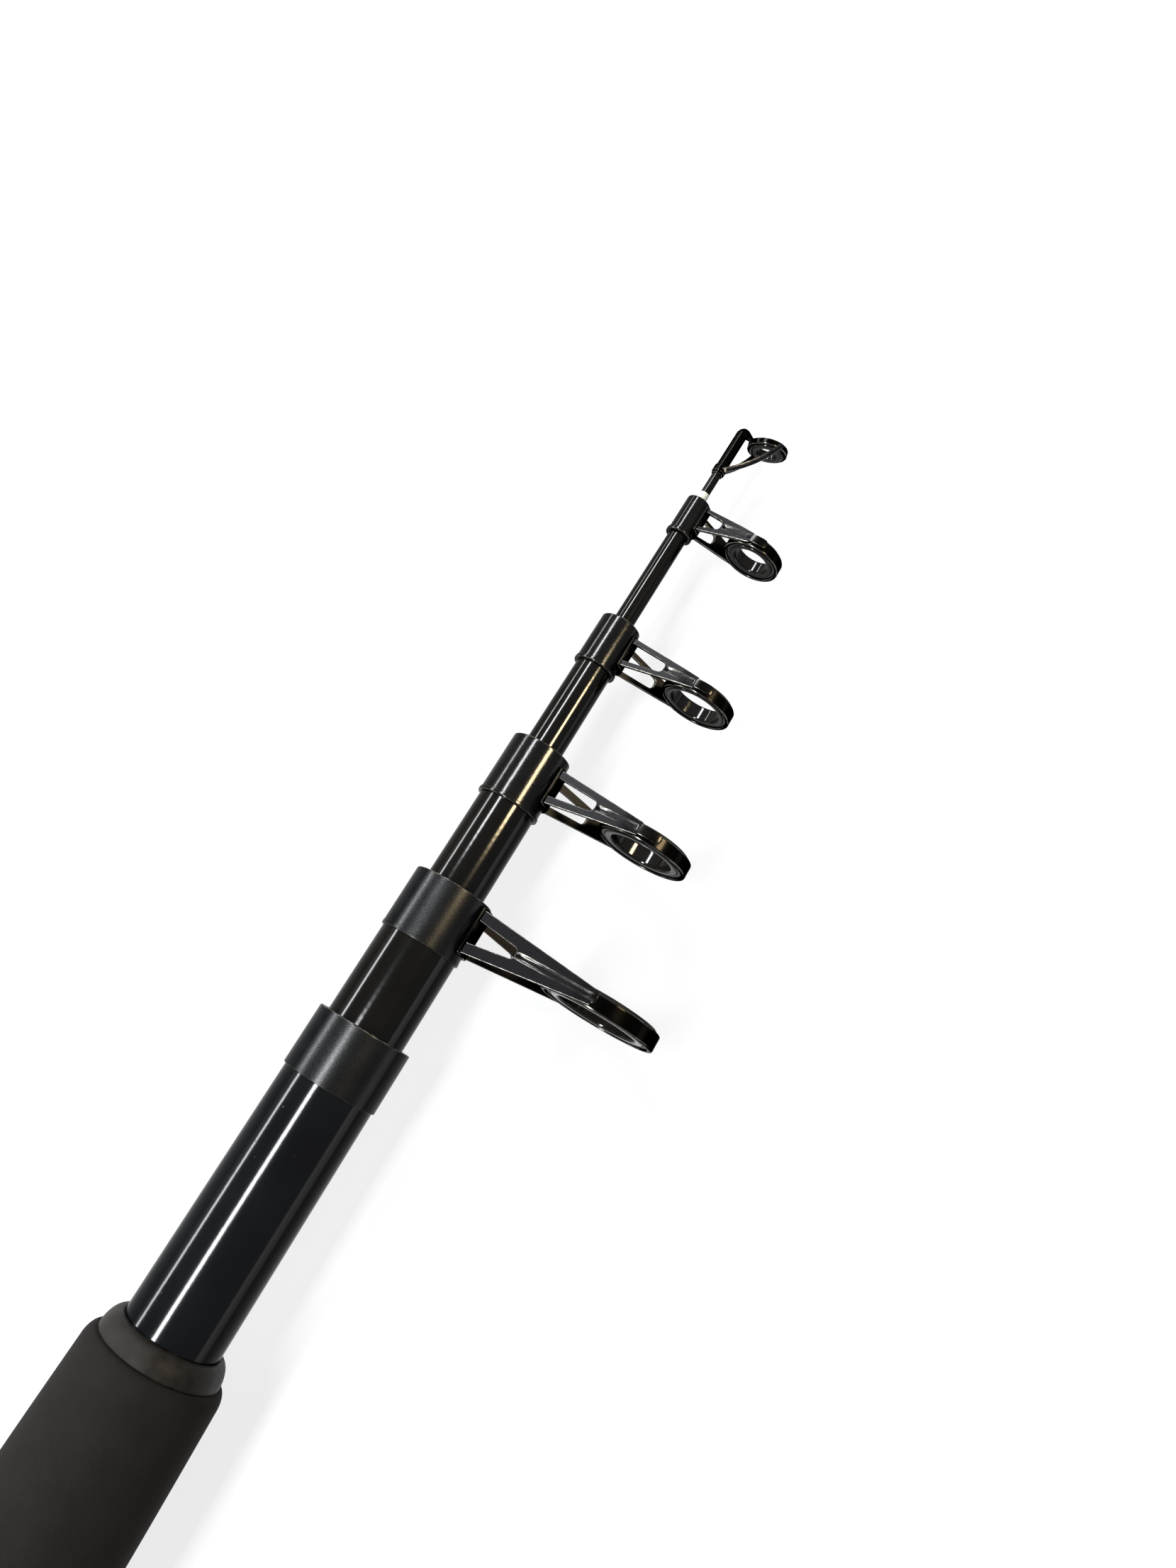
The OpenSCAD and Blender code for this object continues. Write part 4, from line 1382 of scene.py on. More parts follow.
    def tab(self, shell: Shell, side: Side) -> None:
        """The tab at an arm's end: a strap on an arc round the ring, with a round end.

        Args:
            shell: The shell that gets the tab.
            side: Which arm it belongs to.
        """
        at = self.at
        r0 = at.seat_r - self.arm_sink
        r1 = at.seat_r + self.tab_t
        middle_r = (r0 + r1) / 2
        start = -at.tilt - math.radians(self.tab_back)
        length = (math.radians(self.tab_end) - start) * middle_r
        reach = self.tab_w * self.tab_round
        along = end_stations(length, self.tab_start, reach)
        angle = start + along / middle_r
        out = np.stack([np.zeros_like(angle), np.cos(angle), np.sin(angle)], axis=-1)
        path = np.array([at.ring_x, 0.0, at.ring_h]) + out * middle_r
        half_w = self.tab_w / 2 * end_taper(along, length, 0.0, reach)
        half_t = (r1 - r0) / 2 * end_taper(along, length, 0.0, self.tab_thin)
        grid, mark = strap(path, ALONG, out, half_w, half_t, self.edge_r)
        shell.add(faced(grid, self.swing, side), mark, capped=True, paint=Paint.OTHER)

    def saddle(self, shell: Shell) -> None:
        """The curved foot on the collar: a strap on an arc round the rod, with round ends.

        Args:
            shell: The shell that gets the saddle.
        """
        at = self.at
        r0 = at.collar_r + FIT
        r1 = at.collar_r + self.plate_t
        middle_r = (r0 + r1) / 2
        half = math.radians(self.foot_angle + self.saddle_spare) + math.asin(self.plate_t / at.collar_r)
        length = 2.0 * half * middle_r
        reach = self.saddle_round
        along = end_stations(length, reach, reach)
        angle = along / middle_r - half
        out = np.stack([np.zeros_like(angle), np.sin(angle), np.cos(angle)], axis=-1)
        path = np.array([at.x + self.foot_ahead, 0.0, 0.0]) + out * middle_r
        rounded = 1.0 - end_taper(along, length, reach, reach)
        half_w = (self.foot_l + self.plate_t) / 2 - self.saddle_taper * rounded
        half_t = (r1 - r0) / 2 * end_taper(along, length, self.saddle_thin, self.saddle_thin)
        grid, mark = strap(path, ALONG, out, half_w, half_t, self.saddle_edge)
        # The saddle's edge mark shows as wear with a painted highlight
        shell.add(faced(grid, self.swing), mark * self.saddle_wear_and_highlight, capped=True, paint=Paint.OTHER)

    def rim(self, shell: Shell) -> None:
        """The rim: a ring with well rounded edges, behind the insert's front face.

        Args:
            shell: The shell that gets the rim.
        """
        at = self.at
        inner = at.rim_r - self.rim_t
        x0 = at.ring_x - self.ring_w / 2 - self.rim_back
        x1 = at.ring_x + self.ring_w / 2 - self.rim_step
        cut = self.rim_t * self.rim_round
        corners = ring_corners(x0, x1, inner, at.rim_r, (cut / 2, cut, cut, cut / 2))
        turned(shell, corners, centre=(-at.ring_h, 0.0), paint=Paint.OTHER)

    def ring(self, inner: float, outer: float, width: float, cut: float) -> Shell:
        """Turns one of the two rings inside the rim.

        Args:
            inner: Inner radius.
            outer: Outer radius.
            width: Length along the rod.
            cut: How far its edges are rounded.

        Returns:
            A shell with the ring.
        """
        at = self.at
        shell = Shell()
        corners = ring_corners(at.ring_x - width / 2, at.ring_x + width / 2, inner, outer, (cut,) * 4)
        turned(shell, corners, WIDE_ROUND, centre=(-at.ring_h, 0.0))
        return shell


@dataclass(frozen=True)
class GuideSet:
    """The handle's own collar and the four guides, from the largest to the smallest."""

    handle_collar: Collar = Collar("butt_collar", "handle", bead_h=0.0, bore_d=20.704, mouth_d=18.6)
    guides: tuple[Guide, ...] = (
        Guide(1, bore_d=19.2, insert_t=1.9, shock_t=1.2, rim_t=1.2, ring_w=4.5,
              foot_l=10.4, leg_w=2.5, window_l=11.0, window_end_w=2.4, arm_end_w=3.5,
              tab_w=2.8, tab_end=-13.0, ring_ahead=1.3, foot_ahead=0.8,
              collar=Collar("guide_1_collar", "guide_1", bead_h=0.08, bore_d=17.884, mouth_d=16.0)),
        Guide(2, bore_d=15.2, insert_t=1.65, shock_t=1.0, rim_t=1.0, ring_w=4.0,
              foot_l=8.6, leg_w=1.9, window_l=11.1, window_end_w=2.6, arm_end_w=3.2,
              tab_w=2.5, tab_end=9.0, ring_ahead=1.2, foot_ahead=0.7,
              collar=Collar("guide_2_collar", "guide_2", bead_h=0.25, bore_d=13.544, mouth_d=11.8)),
        Guide(3, bore_d=12.6, insert_t=1.1, shock_t=0.7, rim_t=0.8, ring_w=3.7,
              foot_l=7.6, leg_w=1.3, window_l=10.0, window_end_w=2.6, arm_end_w=2.9,
              tab_w=2.3, tab_end=10.0, ring_ahead=0.5, foot_ahead=0.4,
              collar=Collar("guide_3_collar", "guide_3", bead_h=0.25, bore_d=8.836, mouth_d=7.3)),
        Guide(4, bore_d=8.7, insert_t=1.3, shock_t=0.8, rim_t=0.8, ring_w=3.5,
              foot_l=6.5, leg_w=1.0, window_l=5.6, window_end_w=2.4, arm_end_w=2.7,
              tab_w=2.2, tab_end=10.0, ring_ahead=0.8, foot_ahead=0.7,
              collar=Collar("guide_4_collar", "guide_4", bead_h=0.3, bore_d=4.905, mouth_d=3.6)),
    )

    def build(self, paints: Paints) -> None:
        """Builds the handle's own collar and the four guides.

        Args:
            paints: The materials.
        """
        self.handle_collar.build(paints.collar)
        for guide in self.guides:
            guide.build(paints, top=guide.number > 1)


@dataclass(frozen=True)
class TipTop:
    """The tip-top: a thin tube, a strap wrapped round it, two arms, a bent neck and a leaning ring."""

    bore_d: float = 5.0
    insert_t: float = 1.8
    insert_cut: float = 0.5
    rim_t: float = 0.8
    rim_cut: float = 0.3
    ring_w: float = 2.4
    rim_step: float = 0.8
    ring_rise: float = 1.5
    ring_ahead: float = 2.2
    ring_columns: int = 128
    lean: float = 16.0
    swing: float = 115.0
    strap_w: float = 1.3
    strap_t: float = 0.5
    strap_edge: float = 0.18
    strap_back: float = 0.6
    wrap_l: float = 1.8
    wrap_share: float = 0.45
    wrap_cuts: tuple[float, ...] = (0.05, 0.2, 0.2, 0.05)
    tube_wall: float = 0.25
    tube_cuts: tuple[float, ...] = (0.05, 0.1, 0.24, 0.1)
    arm_spare: float = 0.5
    arm_ends: tuple[float, float] = (0.2, 0.4)
    arm_taper: tuple[float, float] = (0.2, 0.5)
    arm_thin: tuple[float, float] = (0.1, 0.2)
    bow: float = 0.5
    sag: float = 0.9
    neck_l: float = 1.0
    neck_in: float = 0.8
    neck_straight: float = 0.8
    neck_thins: tuple[float, float] = (0.3, 0.95)
    neck_rows: int = 25
    crimp: float = 0.06
    crimp_share: float = 0.15
    bulge: float = 0.1

    def build(self, paints: Paints) -> None:
        """Builds the tube, the frame and the insert.

        Args:
            paints: The materials.
        """
        box = node_box("tip_tube")
        tube_r = box.y1
        tube = ring_corners(box.x0, box.x1, tube_r - self.tube_wall, tube_r, self.tube_cuts)
        shell = Shell()
        turned(shell, tube, THIN_ROUND)
        shell.build("tip_tube_drawn", "tip_top", "guide_steel", ["tip_tube"], [paints.rim])
        insert_r = self.bore_d / 2 + self.insert_t
        rim_r = insert_r + self.rim_t
        ring = np.array([box.x1 + self.ring_ahead, 0.0, tube_r + self.ring_rise + rim_r])
        strap_x = box.x0 + self.strap_back
        shell = Shell()
        self.leaning(shell, ring, (rim_r - self.rim_t, rim_r), self.ring_w - self.rim_step, self.rim_cut)
        self.wrap(shell, strap_x, tube_r)
        for side in Side:
            self.arm(shell, np.array([strap_x + self.strap_w / 2, tube_r, 0.0]), ring, rim_r, side)
        self.neck(shell, box.x1, tube_r, ring, rim_r)
        shell.build("tip_frame_formed", "tip_top", "guide_steel", ["tip_frame"], [paints.rim, paints.strap])
        shell = Shell()
        self.leaning(shell, ring, (self.bore_d / 2, insert_r - FIT), self.ring_w, self.insert_cut)
        shell.build("tip_insert_turned", "tip_top", "ring_ceramic", ["tip_insert"], [paints.ceramic])

    def leaning(self, shell: Shell, ring: Array, radii: tuple[float, float], width: float,
                cut: float) -> None:
        """Adds a ring about the tip-top's own leaning axis.

        Args:
            shell: The shell that gets the ring.
            ring: The ring's middle.
            radii: Its inner and its outer radius.
            width: Its length along its axis.
            cut: How far its edges are rounded.
        """
        inner, outer = radii
        x = width / 2
        outline, mark = eased(np.array([(-x, inner), (-x, outer), (x, outer), (x, inner)]), cut)
        grid = polar(outline[:, 0], outline[:, 1], round_angles(self.ring_columns))
        c = math.cos(math.radians(self.lean))
        s = math.sin(math.radians(self.lean))
        leant = grid @ np.array([[c, 0.0, -s], [0.0, 1.0, 0.0], [s, 0.0, c]])
        shell.add(faced(leant + ring, self.swing), mark[:, None])

    def wrap(self, shell: Shell, x0: float, tube_r: float) -> None:
        """Adds the strap's wrap round the tube.

        Args:
            shell: The shell that gets the wrap.
            x0: Where it starts.
            tube_r: The tube's outer radius.
        """
        x1 = x0 + self.wrap_l
        inner = tube_r + FIT
        outer = inner + self.strap_t * self.wrap_share
        turned(shell, ring_corners(x0, x1, inner, outer, self.wrap_cuts), THIN_ROUND)

    def arm(self, shell: Shell, start: Array, ring: Array, rim_r: float, side: Side) -> None:
        """Adds one arm: a strap from the side of the tube to the side of the ring.

        Its middle leaves the straight line by 4 s (1 - s) times the bow outwards and times the sag
        to the ring's side.

        Args:
            shell: The shell that gets the arm.
            start: Where the arm starts on the tube.
            ring: The ring's middle.
            rim_r: The rim's outer radius.
            side: Which of the two arms it is.
        """
        run = np.array([ring[0], rim_r, ring[2]]) - start
        way = run / np.linalg.norm(run)
        length = float(np.linalg.norm(run)) + self.arm_spare
        along = end_stations(length, *self.arm_ends)
        flat_out = np.array([-way[1], way[0], 0.0]) / math.hypot(way[0], way[1])
        across = np.cross(flat_out, way)
        ringward = np.array([-run[2], 0.0, run[0]]) / math.hypot(run[0], run[2])
        share = (along / length)[:, None]
        arch = 4.0 * share * (1.0 - share)
        bent = flat_out * (self.strap_t / 2 + self.bow * arch) + ringward * self.sag * arch
        path = start + bent + along[:, None] * way
        half_w = self.strap_w / 2 * end_taper(along, length, *self.arm_taper)
        half_t = self.strap_t / 2 * end_taper(along, length, *self.arm_thin)
        grid, mark = strap(path, across, flat_out, half_w, half_t, self.strap_edge)
        shell.add(faced(grid, self.swing, side), mark, capped=True, paint=Paint.OTHER)

    def neck(self, shell: Shell, x1: float, tube_r: float, ring: Array, rim_r: float) -> None:
        """Adds the neck, which closes the tube's mouth and bends over to the ring's foot.

        Its middle is a cubic curve, and it thins from the tube's radius to half of the strap's width.
        The blank ends 1 mm inside the tube's mouth, and the neck starts 0.2 mm clear of it.

        Args:
            shell: The shell that gets the neck.
            x1: Where the tube ends.
            tube_r: The tube's outer radius.
            ring: The ring's middle.
            rim_r: The rim's outer radius.
        """
        lean = math.radians(self.lean)
        foot_x = ring[0] - rim_r * math.sin(lean)
        foot_h = ring[2] - rim_r * math.cos(lean) + self.rim_t / 2
        knots = np.array([(x1 - self.neck_in, 0.0), (x1 + self.neck_straight * self.neck_l, 0.0),
                          (x1 + self.neck_l, foot_h / 3), (foot_x, foot_h)])
        s = np.linspace(0.0, 1.0, self.neck_rows)
        left = 1.0 - s
        middle = np.stack([left ** 3, 3.0 * s * left ** 2, 3.0 * s ** 2 * left, s ** 3], axis=-1) @ knots
        slope = np.gradient(middle, axis=0)
        slope /= np.linalg.norm(slope, axis=1)[:, None]
        none = np.zeros_like(s)
        path = np.stack([middle[:, 0], none, middle[:, 1]], axis=-1)
        out = np.stack([-slope[:, 1], none, slope[:, 0]], axis=-1)
        across = np.array([0.0, 1.0, 0.0])
        collar = self.bulge * smooth_step(s, 0.0, self.crimp_share) - self.crimp
        radius = tube_r + collar + (self.strap_w / 2 - tube_r) * smooth_step(s, *self.neck_thins)
        grid, _ = strap(path, across, out, radius, radius, tube_r)
        shell.add(faced(grid, self.swing), capped=True)


@dataclass(frozen=True)
class Grips:
    """The two foam grips and the domed rubber ring in front of them."""

    round_l: float = 3.0
    grip_d: float = 32.2
    rear_ends: tuple[float, float] = (31.2, 31.6)
    front_ends: tuple[float, float] = (30.8, 29.9)
    grip_rows: int = 90
    round_rows: int = 15
    bore_edge: float = 0.1
    check_lip: float = 0.45
    check_rows: int = 28
    check_edge: float = 0.05
    skirt_h: float = 0.25

    def build(self, paints: Paints) -> None:
        """Builds both grips and the rubber ring.

        Args:
            paints: The materials.
        """
        self.grip("rear_grip", self.rear_ends, paints)
        self.grip("foregrip", self.front_ends, paints)
        self.check(paints)

    def grip(self, node: str, ends: tuple[float, float], paints: Paints) -> None:
        """A grip: diameter d(u) = d0 + (d1 - d0) u + swell sin(pi u), with elliptic roundings at its ends.

        Args:
            node: The node that it replaces.
            ends: Its diameters where its rear and its front rounding begin.
            paints: The materials.
        """
        box = node_box(node)
        length = box.x1 - box.x0
        fade = QUARTER * np.linspace(0.0, 1.0, self.round_rows + 1)[:-1]
        u = np.linspace(0.0, 1.0, self.grip_rows)
        swell = self.grip_d - max(ends)
        body_r = (ends[0] + (ends[1] - ends[0]) * u + swell * np.sin(np.pi * u)) / 2
        body_x = box.x0 + self.round_l + (length - 2 * self.round_l) * u
        drop = self.round_l / 2 * (1.0 - np.sin(fade))
        inset = self.round_l * (1.0 - np.cos(fade))
        rear = np.stack([box.x0 + inset, body_r[0] - drop], axis=-1)
        front = np.stack([box.x1 - inset[::-1], body_r[-1] - drop[::-1]], axis=-1)
        body = np.stack([body_x, body_r], axis=-1)
        bore0 = HANDLE_TUBE.radius_at(box.x0) + FIT
        bore1 = HANDLE_TUBE.radius_at(box.x1) + FIT
        inner = np.array([(box.x1, bore1 + self.bore_edge), (box.x1, bore1),
                          (box.x0, bore0), (box.x0, bore0 + self.bore_edge)])
        outline = np.concatenate([rear, body, front, inner])
        shell = Shell()
        shell.add(polar(outline[:, 0], outline[:, 1], round_angles(WIDE_ROUND)))
        made = shell.build(node + "_foam", "handle", "grip_foam", [node], [paints.foam])

    def check(self, paints: Paints) -> None:
        """The rubber ring: a quarter ellipse from the grip's face down to a thin front edge.

        Args:
            paints: The materials.
        """
        box = node_box("winding_check")
        bore = HANDLE_TUBE.radius_at(box.x0) + FIT
        r_front = HANDLE_TUBE.radius_at(box.x1) + self.check_lip
        a = np.linspace(0.0, QUARTER, self.check_rows)
        dome_x = box.x0 + (box.x1 - box.x0) * np.sin(a)
        dome = np.stack([dome_x, r_front + (box.y1 - r_front) * np.cos(a)], axis=-1)
        edge = self.check_edge
        back = np.array([(box.x1, bore + edge), (box.x1 - edge, bore), (box.x0, bore),
                         (box.x0, bore + self.bore_edge)])
        skirt = np.array([(box.x0, box.y1 - self.skirt_h), (box.x0 + FIT, box.y1 - edge)])
        outline = np.concatenate([skirt, dome[1:], back])
        shell = Shell()
        shell.add(polar(outline[:, 0], outline[:, 1], round_angles(WIDE_ROUND)))
        shell.build("winding_check_moulded", "handle", "check_rubber", ["winding_check"], [paints.check])


def fluted(angle: Array, radius: float, count: int, flute_r: float) -> Array:
    """A radius with round flutes: each is a circle whose middle stands half its own radius outside.

    Args:
        angle: The angles, in radians.
        radius: The radius between the flutes.
        count: How many flutes there are.
        flute_r: The radius of a flute's circle.

    Returns:
        The radius at each angle.
    """
    step = TURN / count
    off = (angle + step / 2) % step - step / 2
    middle = radius + flute_r / 2
    inside = np.maximum(flute_r ** 2 - (middle * np.sin(off)) ** 2, 0.0)
    cut = middle * np.cos(off) - np.sqrt(inside)
    return np.where(np.abs(middle * np.sin(off)) < flute_r, np.minimum(cut, radius), radius)


# How near to a sharp triangle a thread's form comes
THREAD_FORM = 0.96


def threaded(x: Array, angle: Array, pitch: float) -> Array:
    """A right-hand thread's form along the rod: a rounded triangle, 0 at the root and 1 at the crest."""
    wave = np.sin(TURN * (x[:, None] / pitch - angle[None, :] / TURN))
    return 0.5 + np.arcsin(THREAD_FORM * wave) / math.asin(THREAD_FORM) / 2


# Columns stand this far, in radians, on either side of a key's or a slot's wall
WALL_STEP = 0.004


def walled_angles(count: int, wall: float) -> Array:
    """Angles once round, with extra ones at the walls of a slot or a key on the +Y side.

    Args:
        count: How many evenly spaced angles there are.
        wall: The angle of the wall from +Y.

    Returns:
        The angles, in order.
    """
    walls = np.array([wall - WALL_STEP, wall, wall + WALL_STEP])
    return np.unique(np.concatenate([round_angles(count), walls, TURN - walls]))


def flat_r(angle: Array, wall: float, height: float, other: Array | float) -> Array:
    """The radius of a flat across the +Y side, and another radius outside its walls.

    Args:
        angle: The angles, in radians.
        wall: The angle of the flat's walls from +Y.
        height: How far the flat lies from the axis.
        other: The radius outside the walls.

    Returns:
        The radius at each angle.
    """
    off = np.minimum(angle, TURN - angle)
    flat = height / np.maximum(np.cos(off), 0.5)
    return np.where(off < wall, flat, other)


@dataclass(frozen=True)
class ReelSeat:
    """The reel seat: its threaded body with a key slot, two hoods with pockets, and the lock nut."""

    wall: float = 2.0
    edge: float = 0.5
    plain_gap: float = 0.3
    bore_edge: float = 0.05
    body_columns: int = 168
    stop_l: float = 4.0
    stop_h: float = 1.5
    thread_l: float = 42.0
    thread_rows: int = 200
    pitch: float = 2.0
    thread_depth: float = 0.5
    run_in: float = 1.0
    run_out: float = 1.5
    hood_wall: float = 1.5
    hood_columns: int = 200
    hood_fillet: float = 0.6
    hood_edge_x: tuple[float, ...] = (0.0, 0.12, 0.4)
    hood_edge_drop: tuple[float, ...] = (0.45, 0.12)
    hood_bore_edge: float = 0.15
    pocket_h: float = 6.0
    pocket_r: float = 11.0
    pocket_l: float = 13.0
    pocket_edge: float = 0.1
    key_w: float = 3.0
    key_h: float = 0.9
    slide_fit: float = 0.08
    nut_wall: float = 2.2
    nut_edge: float = 0.8
    nut_bore_edge: float = 0.3
    nut_flutes: int = 20
    nut_flute_r: float = 1.4
    nut_columns: int = 400
    nut_bore_rows: int = 60

    def build(self, paints: Paints) -> None:
        """Builds the body, both hoods and the nut.

        Args:
            paints: The materials.
        """
        seat_r = node_box("seat_body").z1 - self.stop_h
        self.body(paints, seat_r)
        self.hood(paints, "fixed_hood", "handle", seat_r, forwards=False)
        self.hood(paints, "sliding_hood", "hood", seat_r, forwards=True)
        self.nut(paints, seat_r)

    def body(self, paints: Paints, seat_r: float) -> None:
        """The body: stop ring, helical thread and plain stretch, with the key slot cut on the +Y side.

        Args:
            paints: The materials.
            seat_r: Radius of the seat's body.
        """
        box = node_box("seat_body")
        bore = seat_r - self.wall
        stop_r = seat_r + self.stop_h
        thread_x = box.x0 + self.stop_l
        plain_x = thread_x + self.thread_l
        slot_x = node_box("fixed_hood").x0
        slot_y = seat_r - self.key_h - self.slide_fit
        slot_a = math.asin((self.key_w / 2 + self.slide_fit) / seat_r)
        angle = walled_angles(self.body_columns, slot_a)
        stop, _ = eased(np.array([
            (box.x0, bore), (box.x0, stop_r), (thread_x, stop_r), (thread_x, seat_r - self.thread_depth),
        ]), self.edge, closed=False)
        rows = np.linspace(thread_x + FIT / 2, plain_x, self.thread_rows)
        fade = smooth_step(rows, thread_x, thread_x + self.run_in)
        fade = fade * smooth_step(plain_x - rows, 0.0, self.run_out)
        form = 1.0 - fade[:, None] * (1.0 - threaded(rows, angle, self.pitch))
        thread_r = seat_r - self.thread_depth * (1.0 - form)
        plain = np.array([
            (plain_x + self.plain_gap, seat_r), (plain_x + 2 * self.plain_gap, seat_r),
            (slot_x, seat_r), (slot_x + FIT, seat_r), (box.x1 - self.edge, seat_r),
            (box.x1 - 0.3 * self.edge, seat_r - 0.2 * self.edge),
            (box.x1, seat_r - 0.8 * self.edge),
        ])
        back = np.array([
            (box.x1, bore + self.bore_edge), (box.x1 - self.bore_edge, bore),
            (box.x0 + self.bore_edge, bore), (box.x0, bore + self.bore_edge),
        ])
        x = np.concatenate([stop[:, 0], rows, plain[:, 0], back[:, 0]])
        columns = (1, len(angle))
        radius = np.concatenate([
            np.tile(stop[:, 1:], columns), thread_r,
            np.tile(plain[:, 1:], columns), np.tile(back[:, 1:], columns),
        ])
        outer = np.arange(len(x)) < len(x) - len(back)
        in_slot = (x > thread_x) & (x <= slot_x) & outer
        floor = flat_r(angle, slot_a, slot_y, np.inf)
        radius = np.where(in_slot[:, None], np.minimum(radius, floor[None, :]), radius)
        shell = Shell()
        shell.add(polar(x, radius, angle))
        shell.build("seat_body_moulded", "handle", "seat_plastic", ["seat_body"], [paints.seat])

    def hood(self, paints: Paints, node: str, body: str, seat_r: float, forwards: bool) -> None:
        """A hood, in polar form: the larger of the body's circle and the pocket's swelling circle.

        Args:
            paints: The materials.
            node: The node that it replaces.
            body: The body that it rides on.
            seat_r: Radius of the seat's body.
            forwards: True if the pocket opens towards the tip, as on the hood that slides on the key.
        """
        box = node_box(node)
        length = box.x1 - box.x0
        bore = seat_r + self.slide_fit
        hood_r = bore + self.hood_wall
        middle = seat_r + self.pocket_h - self.pocket_r
        key_a = math.asin(self.key_w / 2 / bore)
        angle = walled_angles(self.hood_columns, key_a)
        cone = length - self.pocket_l
        edge_x = np.array(self.hood_edge_x)
        edge_drop = np.array(self.hood_edge_drop)
        # Rows stand closer together where the cone ends
        out_x = np.concatenate([
            edge_x, np.linspace(0.9, cone - 0.6, 16), np.linspace(cone - 0.4, cone + 0.6, 8),
            [cone + 1.2, length - 0.8], length - edge_x[::-1],
        ])
        shrink = np.concatenate([edge_drop, np.zeros(len(out_x) - 2 * len(edge_drop)), edge_drop[::-1]])
        swell = self.pocket_r - self.hood_wall + 2 * self.hood_wall * np.clip(out_x / cone, 0.0, 1.0)
        pocket = self.circle_r(angle, middle, swell)
        outer = self.soft_max(np.full_like(pocket, hood_r), pocket, self.hood_fillet) - shrink[:, None]
        mouth = np.maximum(self.circle_r(angle, middle, np.array([self.pocket_r])), bore)[0]
        bore_row = np.full(len(angle), bore)
        if forwards:
            bore_row = flat_r(angle, key_a, seat_r - self.key_h, bore_row)
            mouth = flat_r(angle, key_a, seat_r - self.key_h, mouth)
        end = self.hood_bore_edge
        step = self.pocket_edge
        in_x = np.array([length, length - end, cone + step, cone, cone, cone - step, end, 0.0])
        ease = np.array([end, 0.0, 0.0, -step, step, 0.0, 0.0, end])
        inner = np.concatenate([np.tile(mouth, (4, 1)), np.tile(bore_row, (4, 1))]) + ease[:, None]
        inner = np.maximum(inner, bore_row)
        x = np.concatenate([out_x, in_x])
        along = box.x0 + x if forwards else box.x1 - x
        shell = Shell()
        shell.add(polar(along, np.concatenate([outer, inner]), angle))
        shell.build(node + "_moulded", body, "seat_plastic", [node], [paints.seat])

    @staticmethod
    def circle_r(angle: Array, middle: float, radius: Array) -> Array:
        """How far circles about (-middle, 0) reach from the axis.

        Args:
            angle: The angles, in radians.
            middle: How far the circles' middle lies from the axis, towards -Y.
            radius: The radius of each circle.

        Returns:
            The reach, one row for each circle and one column for each angle.
        """
        along = -middle * np.cos(angle)[None, :]
        inside = np.maximum(along ** 2 + radius[:, None] ** 2 - middle ** 2, 0.0)
        return along + np.sqrt(inside)

    @staticmethod
    def soft_max(first: Array, second: Array, soft: float) -> Array:
        """The larger of two radii, with a fillet where they cross: (a + b + sqrt((a - b)^2 + s^2)) / 2."""
        return (first + second + np.sqrt((first - second) ** 2 + soft ** 2)) / 2

    def nut(self, paints: Paints, seat_r: float) -> None:
        """The lock nut: a fluted ring with chamfered ends and a plain bore.

        Args:
            paints: The materials.
            seat_r: Radius of the seat's body.
        """
        box = node_box("lock_nut")
        length = box.x1 - box.x0
        bore = seat_r + self.slide_fit
        bore_end = bore + self.nut_bore_edge
        nut_r = bore + self.nut_wall
        edge = self.nut_edge
        angle = round_angles(self.nut_columns)
        rows, _ = eased(np.array([
            (0.0, bore_end), (0.0, nut_r - edge), (edge, nut_r),
            (length - edge, nut_r), (length, nut_r - edge), (length, bore_end),
        ]), self.nut_bore_edge, closed=False)
        flutes = fluted(angle, nut_r, self.nut_flutes, self.nut_flute_r)[None, :]
        outer = np.minimum(np.tile(rows[:, 1:], (1, len(angle))), flutes)
        bore_x = np.linspace(length - self.nut_bore_edge, self.nut_bore_edge, self.nut_bore_rows)
        inner = np.full((self.nut_bore_rows, len(angle)), bore)
        x = box.x0 + np.concatenate([rows[:, 0], bore_x])
        shell = Shell()
        shell.add(polar(x, np.concatenate([outer, inner]), angle))
        shell.build("lock_nut_moulded", "nut", "seat_plastic", ["lock_nut"], [paints.seat])


